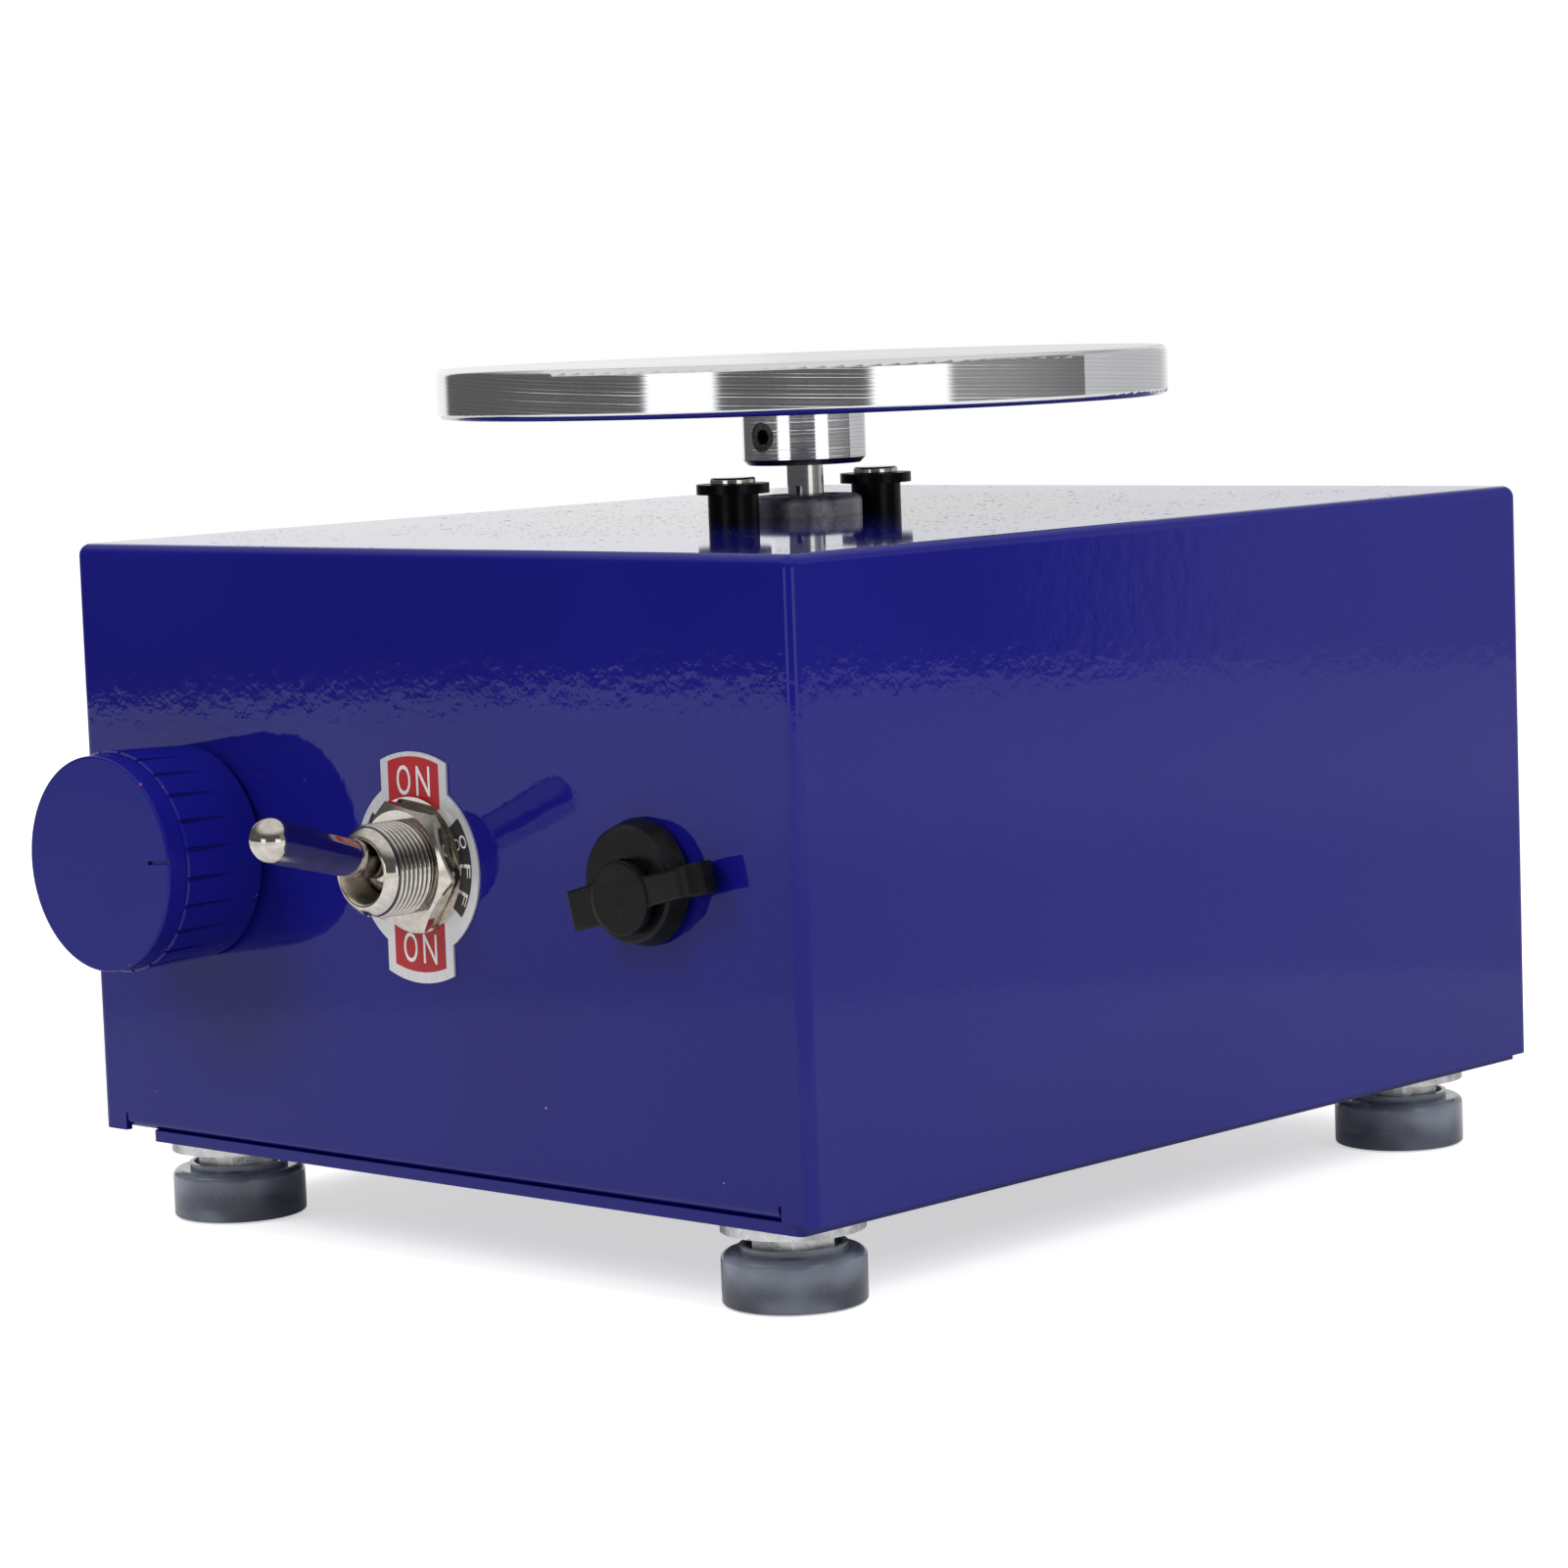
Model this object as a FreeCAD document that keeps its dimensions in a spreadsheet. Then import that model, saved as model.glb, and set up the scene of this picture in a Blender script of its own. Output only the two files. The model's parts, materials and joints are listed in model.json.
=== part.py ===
import FreeCAD, Part
import math
import os
import Sketcher

# A table-top pottery wheel: a turntable driven straight by a motor that hangs in a folded steel box.
# Millimetres, +Z up. The control panel faces -Y, and the origin is on the ground at the centre of the
# whole object's box, so the casing stands a little behind it because the toggle lever reaches forward.
DIMENSIONS = {
    # casing, folded from one sheet
    "casing_width": 132.0,
    "casing_depth": 150.0,
    "casing_height": 80.0,
    "casing_lift": 12.2,
    "casing_back": 13.524,
    "sheet": 1.0,
    "bend": 1.6,
    "flange_reach": 18.0,
    "flange_relief": 5.0,
    "flange_lift": 0.4,
    "notch_width": 0.4,
    "notch_height": 2.4,
    # bottom plate, cut short on the left
    "plate_width": 120.0,
    "plate_shift": 4.0,
    "plate_inset": 0.3,
    "plate_sheet": 1.5,
    # feet
    "foot_x": 51.8,
    "foot_y": 63.2,
    "foot_diameter": 18.0,
    "foot_height": 6.5,
    "foot_round": 1.0,
    "foot_base_round": 0.4,
    "collar_diameter": 13.4,
    "collar_height": 0.8,
    "recess_diameter": 12.2,
    "recess_depth": 0.6,
    "stud_diameter": 6.0,
    "stud_head_diameter": 12.8,
    "stud_head_low": 2.5,
    "stud_head_height": 2.0,
    "stud_top": 21.5,
    "stud_chamfer": 0.6,
    "stud_hole": 6.2,
    "foot_washer_diameter": 18.0,
    "foot_washer_height": 2.0,
    "foot_nut_flats": 10.0,
    "jam_nut_height": 3.2,
    "jam_nut_turn": 12.0,
    "inner_nut_height": 5.0,
    # turntable
    "table_diameter": 100.0,
    "table_thickness": 6.7,
    "table_chamfer": 0.9,
    "hub_diameter": 17.0,
    "hub_length": 7.9,
    "hub_chamfer": 0.8,
    "hub_clearance": 7.0,
    "bore_depth": 10.0,
    "set_screw_diameter": 4.0,
    "set_screw_recess": 0.3,
    "set_screw_socket": 2.0,
    # motor
    "motor_diameter": 42.0,
    "motor_length": 57.0,
    "motor_wall": 1.6,
    "motor_face": 2.0,
    "motor_screw_spacing": 29.0,
    "motor_screw_diameter": 4.0,
    "boss_diameter": 15.4,
    "boss_height": 3.7,
    "boss_lip": 0.6,
    "boss_mouth": 10.4,
    "boss_round": 1.0,
    "boss_hole": 16.4,
    "vent_diameter": 5.0,
    "vent_circle": 30.0,
    "shaft_diameter": 5.0,
    "shaft_flat": 0.5,
    "shaft_flat_length": 13.0,
    "shaft_tail_diameter": 4.0,
    "shaft_tail_step": 2.0,
    "shaft_end_air": 0.2,
    "running_clearance": 0.04,
    "front_bearing_diameter": 13.0,
    "front_bearing_width": 4.0,
    "shield_outer": 11.0,
    "shield_inner": 8.0,
    "shield_depth": 0.4,
    "rear_bearing_diameter": 10.0,
    "rear_bearing_length": 6.0,
    "magnet_thickness": 3.0,
    "magnet_length": 40.0,
    "magnet_top": 7.0,
    "magnet_span": 120.0,
    "armature_diameter": 31.8,
    "armature_length": 30.0,
    "armature_top": 12.0,
    "slot_count": 12.0,
    "slot_mouth": 1.6,
    "slot_diameter": 4.4,
    "slot_circle": 24.0,
    "winding_outer": 28.0,
    "winding_inner": 10.0,
    "winding_height": 5.0,
    "winding_shoulder": 2.0,
    "commutator_air": 0.5,
    "gap_depth": 1.0,
    "commutator_diameter": 12.0,
    "commutator_length": 8.0,
    "commutator_gap": 0.4,
    "brush_size": 5.0,
    "brush_length": 8.0,
    "brush_air": 0.1,
    "holder_wall": 1.1,
    "holder_setback": 1.0,
    "blade_thickness": 0.8,
    "blade_reach": 4.0,
    "end_cap_rim": 4.0,
    "end_cap_wall": 2.5,
    "end_cap_thickness": 2.5,
    "end_cap_boss": 16.0,
    "end_cap_depth": 7.0,
    # motor bushes and screws
    "rubber_diameter": 6.9,
    "rubber_flange": 9.9,
    "rubber_flange_height": 1.35,
    "rubber_height": 5.0,
    "rubber_bore": 4.2,
    "screw_head_diameter": 6.2,
    "screw_head_rim": 0.75,
    "screw_head_margin": 0.1,
    "screw_head_round": 0.35,
    "screw_reach": 8.0,
    # controls on the front panel
    "control_height": 39.8,
    "knob_drop": 0.4,
    "switch_rise": 0.2,
    "jack_rise": 0.4,
    "knob_x": -43.5,
    "switch_x": 0.1,
    "jack_x": 40.7,
    # speed knob
    "knob_face_diameter": 28.4,
    "knob_grip_diameter": 29.2,
    "knob_back_diameter": 28.3,
    "knob_length": 16.5,
    "knob_air": 0.8,
    "knob_step": 2.9,
    "knob_shoulder": 0.3,
    "knob_ledge": 0.2,
    "knob_wall": 2.6,
    "knob_cavity": 8.0,
    "knob_hub_diameter": 13.0,
    "knob_hub_low": 6.0,
    "knob_bore_depth": 12.5,
    "knob_edge": 0.3,
    "flute_count": 24.0,
    "flute_diameter": 0.7,
    "flute_depth": 0.32,
    "flute_low": 4.2,
    "flute_turn": 5.0,
    "pointer_width": 0.5,
    "pointer_depth": 0.4,
    "pointer_start": 10.1,
    "pointer_angle": 4.0,
    # potentiometer
    "pot_diameter": 16.4,
    "pot_depth": 8.5,
    "pot_wall": 0.9,
    "pot_plate": 1.2,
    "pot_bush_lip": 1.2,
    "pot_bush_lip_height": 0.8,
    "pot_wiper_air": 0.4,
    "pot_lug_level": 4.0,
    "pot_lug_entry": 1.6,
    "pot_bush_diameter": 7.0,
    "pot_bush_reach": 5.5,
    "pot_shaft_diameter": 6.0,
    "pot_wiper_diameter": 13.0,
    "pot_wiper_thickness": 0.8,
    "pot_nut_flats": 10.0,
    "pot_nut_height": 2.0,
    "pot_washer_diameter": 12.0,
    "pot_washer_height": 0.6,
    # toggle switch
    "legend_diameter": 22.6,
    "legend_height": 29.6,
    "legend_lobe_width": 12.1,
    "legend_thickness": 0.3,
    "legend_drop": 0.4,
    "toggle_diameter": 12.0,
    "toggle_reach": 9.9,
    "toggle_edge": 1.5,
    "toggle_bevel": 1.4,
    "toggle_washer_diameter": 17.4,
    "toggle_washer_height": 0.7,
    "toggle_nut_flats": 15.2,
    "toggle_nut_height": 2.3,
    "toggle_nut_turn": -9.0,
    "keyway_width": 1.8,
    "keyway_depth": 0.9,
    "toggle_mouth": 8.4,
    "toggle_neck": 6.1,
    "toggle_bore": 7.8,
    "pivot_reach": 4.2,
    "seat_start": 0.2,
    "seat_length": 2.0,
    "lever_tilt": 16.0,
    "lever_ball": 6.9,
    "lever_neck": 3.8,
    "lever_neck_low": 2.0,
    "lever_neck_top": 4.0,
    "lever_waist": 4.9,
    "lever_waist_level": 6.8,
    "lever_tip": 5.9,
    "lever_length": 20.7,
    "lever_tail": 5.5,
    "lever_tail_diameter": 3.0,
    "lock_washer_diameter": 17.0,
    "lock_washer_height": 0.8,
    "housing_width": 18.0,
    "housing_height": 31.0,
    "housing_depth": 20.0,
    "housing_cavity": 8.0,
    "toggle_lug_length": 8.0,
    # power inlet
    "jack_flange_back": 15.7,
    "jack_flange_front": 14.4,
    "jack_flange_reach": 3.6,
    "jack_edge": 0.4,
    "jack_thread": 11.0,
    "jack_depth": 14.0,
    "jack_socket": 6.4,
    "jack_socket_depth": 10.0,
    "jack_pin_diameter": 2.1,
    "jack_pin_recess": 1.0,
    "jack_pin_chamfer": 0.4,
    "jack_lug_length": 7.0,
    "jack_nut_flats": 14.0,
    "jack_nut_height": 2.5,
    # dust cap
    "cap_turn": 14.0,
    "cap_along": 0.44,
    "cap_aside": -1.55,
    "cap_diameter": 9.2,
    "cap_thickness": 1.2,
    "cap_low": 4.5,
    "cap_edge": 0.3,
    "cap_boss_diameter": 5.8,
    "cap_boss_height": 0.5,
    "tab_reach": 9.0,
    "tab_width": 5.2,
    "strap_width": 3.6,
    "strap_thickness": 0.7,
    "strap_run": 10.3,
    "strap_air": 0.1,
    "ring_diameter": 14.6,
    # speed board
    "board_width": 34.0,
    "board_depth": 44.0,
    "board_thickness": 1.6,
    "board_drop": 13.0,
    "board_gap": 2.0,
    "lug_width": 2.0,
    "lug_thickness": 0.5,
    "lug_pitch": 5.0,
    "capacitor_diameter": 8.0,
    "capacitor_height": 12.0,
    "block_width": 20.0,
    "block_depth": 8.0,
    "block_height": 10.0,
    "block_hole": 3.6,
    "sink_width": 16.0,
    "sink_height": 20.0,
    "sink_depth": 8.0,
    "fin_count": 4.0,
    "fin_thickness": 1.2,
    "sink_setback": 14.0,
    "chip_thickness": 4.5,
    "chip_width": 10.0,
    "chip_height": 16.0,
}

doc = FreeCAD.newDocument("pottery_wheel")
sheet = doc.addObject("Spreadsheet::Sheet", "dims")
for row, (name, number) in enumerate(DIMENSIONS.items(), start=1):
    sheet.set(f"A{row}", name)
    sheet.set(f"B{row}", str(number))
    sheet.setAlias(f"B{row}", name)
doc.recompute()


class Size:
    """A length with the formula that drives it, so that sums of sizes stay bound to the sheet."""

    def __init__(self, value, text):
        self.value = value
        self.text = text

    def __add__(self, other):
        other = as_size(other)
        return Size(self.value + other.value, f"({self.text} + {other.text})")

    def __sub__(self, other):
        other = as_size(other)
        return Size(self.value - other.value, f"({self.text} - {other.text})")

    def __mul__(self, factor):
        return Size(self.value * factor, f"({self.text} * {factor!r})")

    def __truediv__(self, factor):
        return Size(self.value / factor, f"({self.text} / {factor!r})")

    def __neg__(self):
        return Size(-self.value, f"(-{self.text})")


def as_size(number):
    return number if isinstance(number, Size) else Size(float(number), repr(float(number)))


class Sizes:
    """The sheet's cells as sizes, by their names."""

    def __getattr__(self, name):
        return Size(DIMENSIONS[name], f"dims.{name}")


d = Sizes()
ZERO = as_size(0)
NODES = []
TURN_OUT = FreeCAD.Rotation(FreeCAD.Vector(1, 0, 0), 90)

# levels that several pieces share
casing_top = d.casing_lift + d.casing_height
casing_under = casing_top - d.sheet
panel = d.casing_back - d.casing_depth / 2
control = d.casing_lift + d.control_height
KNOB_SPOT = (d.knob_x, control - d.knob_drop)
SWITCH_SPOT = (d.switch_x, control + d.switch_rise)
JACK_SPOT = (d.jack_x, control + d.jack_rise)
plate_top = d.casing_lift + d.flange_lift
plate_low = plate_top - d.plate_sheet
flange_top = plate_top + d.sheet
hub_low = casing_top + d.hub_clearance
FOOT_CORNERS = {"front_left": (-1, -1), "front_right": (1, -1), "rear_left": (-1, 1), "rear_right": (1, 1)}


def bind(thing, prop, size):
    thing.setExpression(prop, as_size(size).text)


def place(thing, x, y, z, rotation=None):
    """Stands a piece at a place of the object's frame, turned first where a rotation is given."""
    if rotation is not None:
        thing.Placement = FreeCAD.Placement(FreeCAD.Vector(), rotation)
    for axis, size in zip("xyz", (x, y, z)):
        bind(thing, f"Placement.Base.{axis}", size)
    return thing


def node(thing, label):
    """Names a finished piece and lists it for writing."""
    thing.Label = label
    NODES.append(thing)
    return thing


def new_body(name):
    return doc.addObject("PartDesign::Body", name + "_body")


def origin(body, role):
    return next(item for item in body.Origin.OriginFeatures if item.Role == role)


def sketch_on(body, role, offset=None):
    sketch = body.newObject("Sketcher::SketchObject", body.Name + "_sketch")
    sketch.AttachmentSupport = [(origin(body, role), "")]
    sketch.MapMode = "FlatFace"
    if offset is not None:
        bind(sketch, "AttachmentOffset.Base.z", offset)
    return sketch


def pin_point(sketch, element, position, x, y):
    """Fixes one point of a sketch by its distances from the sketch's axes."""
    for kind, axis, size in (("DistanceX", -2, as_size(x)), ("DistanceY", -1, as_size(y))):
        if abs(size.value) < 1e-9:
            sketch.addConstraint(Sketcher.Constraint("PointOnObject", element, position, axis))
            continue
        index = sketch.addConstraint(Sketcher.Constraint(kind, -1, 1, element, position, size.value))
        sketch.setExpression(f"Constraints[{index}]", size.text)


def outline(sketch, points):
    """A closed outline of straight lines through points, each bound to the sheet."""
    points = [(as_size(x), as_size(y)) for x, y in points]
    first = sketch.GeometryCount
    corners = [FreeCAD.Vector(x.value, y.value, 0) for x, y in points]
    count = len(points)
    for i in range(count):
        sketch.addGeometry(Part.LineSegment(corners[i], corners[(i + 1) % count]), False)
    for i in range(count):
        ends = (first + i, 2, first + (i + 1) % count, 1)
        sketch.addConstraint(Sketcher.Constraint("Coincident", *ends))
    for i, (x, y) in enumerate(points):
        pin_point(sketch, first + i, 1, x, y)
    return sketch


def ring_line(sketch, x, y, diameter):
    x, y, diameter = as_size(x), as_size(y), as_size(diameter)
    centre = FreeCAD.Vector(x.value, y.value, 0)
    up = FreeCAD.Vector(0, 0, 1)
    element = sketch.addGeometry(Part.Circle(centre, up, diameter.value / 2), False)
    index = sketch.addConstraint(Sketcher.Constraint("Diameter", element, diameter.value))
    sketch.setExpression(f"Constraints[{index}]", diameter.text)
    pin_point(sketch, element, 3, x, y)
    return sketch


def rectangle(sketch, x0, y0, x1, y1):
    return outline(sketch, [(x0, y0), (x1, y0), (x1, y1), (x0, y1)])


def hexagon(sketch, flats, turn=0.0):
    reach = as_size(flats) / math.sqrt(3)
    angles = [math.radians(turn + 60 * k) for k in range(6)]
    return outline(sketch, [(reach * math.cos(a), reach * math.sin(a)) for a in angles])


def pad(body, sketch, length, reverse=False):
    feature = body.newObject("PartDesign::Pad", body.Name + "_pad")
    feature.Profile = sketch
    bind(feature, "Length", length)
    feature.Reversed = reverse
    return feature


def pocket(body, sketch, length, reverse=False):
    """Cuts a sketch into a body, and stops if nothing was cut away."""
    doc.recompute()
    before = body.Shape.Volume
    feature = body.newObject("PartDesign::Pocket", body.Name + "_pocket")
    feature.Profile = sketch
    bind(feature, "Length", length)
    feature.Reversed = reverse
    doc.recompute()
    if body.Shape.Volume > before - 1e-3:
        raise RuntimeError(f"{feature.Name} cut nothing")
    return feature


def revolve(body, sketch):
    feature = body.newObject("PartDesign::Revolution", body.Name + "_turned")
    feature.Profile = sketch
    feature.ReferenceAxis = (sketch, ["V_Axis"])
    feature.Angle = 360
    return feature


def around(body, feature, count):
    """Repeats a feature evenly round the body's own Z axis."""
    pattern = body.newObject("PartDesign::PolarPattern", body.Name + "_pattern")
    pattern.Originals = [feature]
    pattern.Axis = (origin(body, "Z_Axis"), [""])
    pattern.Angle = 360
    bind(pattern, "Occurrences", count)
    body.Tip = pattern
    return pattern


def ease(body, kind, size, wanted):
    """Fillets or chamfers the edges of a body's last feature that a test on their middle point picks."""
    doc.recompute()
    base = body.Tip
    names = []
    for i, edge in enumerate(base.Shape.Edges, start=1):
        middle = edge.valueAt((edge.FirstParameter + edge.LastParameter) / 2)
        if wanted(edge, middle):
            names.append(f"Edge{i}")
    feature = body.newObject("PartDesign::" + kind, body.Name + "_" + kind.lower())
    feature.Base = (base, names)
    bind(feature, "Radius" if kind == "Fillet" else "Size", size)
    return feature


def near(value, size):
    return abs(value - as_size(size).value) < 1e-4


def round_edge(diameter, level):
    """A test for the full circle of one diameter at one level."""
    def wanted(edge, middle):
        if not isinstance(edge.Curve, Part.Circle):
            return False
        return near(edge.Curve.Radius, as_size(diameter) / 2) and near(middle.z, level)
    return wanted


def turned(name, *outlines):
    """A body turned about its Z axis from outlines of (radius, height) points."""
    body = new_body(name)
    sketch = sketch_on(body, "XZ_Plane")
    for points in outlines:
        outline(sketch, points)
    revolve(body, sketch)
    return body


def ring(name, outer, inner, low, height):
    """A flat washer or sleeve."""
    o, i, top = as_size(outer) / 2, as_size(inner) / 2, as_size(low) + height
    return turned(name, [(i, low), (o, low), (o, top), (i, top)])


def hex_nut(name, flats, hole, low, height, turn=0.0):
    """A hexagon nut whose corners are turned off on both faces."""
    body = new_body(name)
    sketch = sketch_on(body, "XY_Plane", low)
    hexagon(sketch, flats, turn)
    ring_line(sketch, 0, 0, hole)
    pad(body, sketch, height)
    reach = as_size(flats) / math.sqrt(3)
    inner = as_size(flats) * 0.475
    drop = (reach - inner) * math.tan(math.radians(30))
    low, top = as_size(low), as_size(low) + height
    past = reach + 1
    rise = drop + math.tan(math.radians(30))
    doc.recompute()
    corner = sketch_on(body, "XZ_Plane")
    outline(corner, [(inner, top), (past, top), (past, top - rise)])
    outline(corner, [(inner, low), (past, low), (past, low + rise)])
    groove = body.newObject("PartDesign::Groove", body.Name + "_groove")
    groove.Profile = corner
    groove.ReferenceAxis = (corner, ["V_Axis"])
    groove.Angle = 360
    return body


def block(name, x0, x1, y0, y1, z0, z1):
    """A plain box between two corners."""
    box = doc.addObject("Part::Box", name)
    low = [as_size(v) for v in (x0, y0, z0)]
    high = [as_size(v) for v in (x1, y1, z1)]
    for prop, a, b in zip(("Length", "Width", "Height"), low, high):
        bind(box, prop, b - a)
    return place(box, *low)


def drum(name, diameter, low, high, x=0, y=0, angle=360):
    """A plain upright cylinder, or a part of one."""
    cylinder = doc.addObject("Part::Cylinder", name)
    bind(cylinder, "Radius", as_size(diameter) / 2)
    bind(cylinder, "Height", as_size(high) - low)
    cylinder.Angle = angle
    return place(cylinder, x, y, low)


def cut(name, base, tool):
    result = doc.addObject("Part::Cut", name)
    result.Base, result.Tool = base, tool
    return result


def fuse(name, *shapes):
    result = doc.addObject("Part::MultiFuse", name)
    result.Shapes = list(shapes)
    result.Refine = True
    return result


def group(name, pieces):
    """Several separate solids that share one node."""
    result = doc.addObject("Part::Compound", name + "_group")
    result.Links = pieces
    return result


def copies(name, piece, places, rotation=None):
    """Copies of one piece at several places, as one node of separate solids."""
    links = []
    for i, spot in enumerate(places, start=1):
        link = doc.addObject("App::Link", f"{name}_{i}")
        link.LinkedObject = piece
        link.LinkTransform = False
        links.append(place(link, *spot, rotation))
    return group(name, links)


def on_panel(thing, spot, label, turn=0.0):
    """Stands a piece on a spot of the front panel: its Z axis points out of the panel, its Y axis up."""
    spin = FreeCAD.Rotation(FreeCAD.Vector(0, 0, 1), turn)
    return node(place(thing, spot[0], panel, spot[1], TURN_OUT.multiply(spin)), label)


def foot_places(height):
    return [(d.foot_x * sx, d.casing_back + d.foot_y * sy, height) for sx, sy in FOOT_CORNERS.values()]


# casing shell: a box bent from one sheet, open below, with a flange turned in along front and back
def casing_shell():
    body = new_body("casing_shell")
    half_x, half_y = d.casing_width / 2, d.casing_depth / 2
    base = sketch_on(body, "XY_Plane")
    rectangle(base, -half_x, -half_y, half_x, half_y)
    pad(body, base, d.casing_height)

    def bent(edge, middle):
        return middle.z > 1e-4
    ease(body, "Fillet", d.bend, bent)
    doc.recompute()
    solid = body.Tip
    faces = solid.Shape.Faces
    lowest = min(range(len(faces)), key=lambda i: faces[i].CenterOfMass.z)
    hollow = body.newObject("PartDesign::Thickness", "casing_shell_hollow")
    hollow.Base = (solid, [f"Face{lowest + 1}"])
    bind(hollow, "Value", d.sheet)
    hollow.Reversed = True
    hollow.Join = 1
    doc.recompute()

    # the front and back walls turn in just above the plate, with a relief slit at each end of the bend
    wall_x = half_x - d.bend
    edge_x = half_x - d.flange_relief
    flange_x = edge_x - d.notch_width
    below = -d.sheet
    trim = sketch_on(body, "XZ_Plane", -d.casing_depth)
    outline(trim, [
        (wall_x, below), (wall_x, d.flange_lift), (edge_x, d.flange_lift), (edge_x, d.notch_height),
        (flange_x, d.notch_height), (flange_x, d.flange_lift), (-flange_x, d.flange_lift),
        (-flange_x, d.notch_height), (-edge_x, d.notch_height), (-edge_x, below),
    ])
    pocket(body, trim, d.casing_depth * 2, reverse=True)
    flange = sketch_on(body, "XY_Plane", d.flange_lift)
    for side in (-1, 1):
        rectangle(flange, -flange_x, half_y * side, flange_x, (half_y - d.flange_reach) * side)
    pad(body, flange, d.sheet)

    def outer_fold(edge, middle):
        return near(abs(middle.y), half_y) and near(middle.z, d.flange_lift) and edge.Length > 50
    ease(body, "Fillet", d.bend, outer_fold)

    def inner_fold(edge, middle):
        at_wall = near(abs(middle.y), half_y - d.sheet)
        return at_wall and near(middle.z, d.flange_lift + d.sheet) and edge.Length > 50
    ease(body, "Fillet", d.bend - d.sheet, inner_fold)

    # holes for the motor boss and its two screws, the three controls and the foot studs
    top_holes = sketch_on(body, "XY_Plane", d.casing_height + 1)
    ring_line(top_holes, 0, 0, d.boss_hole)
    for side in (-1, 1):
        ring_line(top_holes, 0, d.motor_screw_spacing * side / 2, d.motor_screw_diameter)
    pocket(body, top_holes, d.sheet * 3)
    panel_holes = sketch_on(body, "XZ_Plane", half_y + 1)
    for (x, level), diameter in (
        (KNOB_SPOT, d.pot_bush_diameter), (SWITCH_SPOT, d.toggle_diameter), (JACK_SPOT, d.jack_thread),
    ):
        ring_line(panel_holes, x, level - d.casing_lift, diameter)
    pocket(body, panel_holes, d.sheet * 3)
    stud_holes = sketch_on(body, "XY_Plane", d.flange_lift + d.sheet + 1)
    for sx, sy in FOOT_CORNERS.values():
        ring_line(stud_holes, d.foot_x * sx, d.foot_y * sy, d.stud_hole)
    pocket(body, stud_holes, d.sheet * 3)
    return node(place(body, ZERO, d.casing_back, d.casing_lift), "casing_shell")


# bottom plate: a plain sheet clamped under the flanges by the foot studs
def bottom_plate():
    body = new_body("bottom_plate")
    half_x, half_y = d.plate_width / 2, d.casing_depth / 2 - d.plate_inset
    base = sketch_on(body, "XY_Plane")
    rectangle(base, d.plate_shift - half_x, -half_y, d.plate_shift + half_x, half_y)
    for sx, sy in FOOT_CORNERS.values():
        ring_line(base, d.foot_x * sx, d.foot_y * sy, d.stud_hole)
    pad(body, base, d.plate_sheet)

    def corner(edge, middle):
        return near(middle.z, d.plate_sheet / 2) and isinstance(edge.Curve, Part.Line) and edge.Length < 5
    ease(body, "Fillet", d.sheet, corner)
    return node(place(body, ZERO, d.casing_back, plate_low), "bottom_plate")


# feet: soft cups moulded round the head of a stud, each with a nut and a wide washer above
def feet():
    rim = d.foot_diameter / 2
    top = d.foot_height
    collar_top = top + d.collar_height
    floor = top - d.recess_depth
    stud = d.stud_diameter / 2
    head = d.stud_head_diameter / 2
    head_top = d.stud_head_low + d.stud_head_height
    collar, recess = d.collar_diameter / 2, d.recess_diameter / 2
    cup = [
        (0, 0), (rim, 0), (rim, top), (collar, top), (collar, collar_top), (recess, collar_top),
        (recess, floor), (stud, floor), (stud, head_top), (head, head_top), (head, d.stud_head_low),
        (0, d.stud_head_low),
    ]
    for corner, spot in zip(FOOT_CORNERS, foot_places(ZERO)):
        label = "rubber_foot_" + corner
        body = turned(label, cup)
        ease(body, "Fillet", d.foot_round, round_edge(d.foot_diameter, top))
        ease(body, "Fillet", d.foot_base_round, round_edge(d.foot_diameter, ZERO))
        node(place(body, *spot), label)
    bolt = turned("foot_stud", [
        (0, d.stud_head_low), (head, d.stud_head_low), (head, head_top), (stud, head_top),
        (stud, d.stud_top - d.stud_chamfer), (stud - d.stud_chamfer, d.stud_top), (0, d.stud_top),
    ])
    node(copies("foot_studs", bolt, foot_places(ZERO)), "foot_studs")
    washer = ring("foot_washer", d.foot_washer_diameter, d.stud_hole, 0, d.foot_washer_height)
    washer_low = plate_low - d.foot_washer_height
    node(copies("foot_washers", washer, foot_places(washer_low)), "foot_washers")
    jam = hex_nut("jam_nut", d.foot_nut_flats, d.stud_diameter, 0, d.jam_nut_height,
                  DIMENSIONS["jam_nut_turn"])
    node(copies("foot_jam_nuts", jam, foot_places(washer_low - d.jam_nut_height)), "foot_jam_nuts")
    inner = hex_nut("inner_nut", d.foot_nut_flats, d.stud_diameter, 0, d.inner_nut_height)
    node(copies("foot_inner_nuts", inner, foot_places(flange_top)), "foot_inner_nuts")


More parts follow.
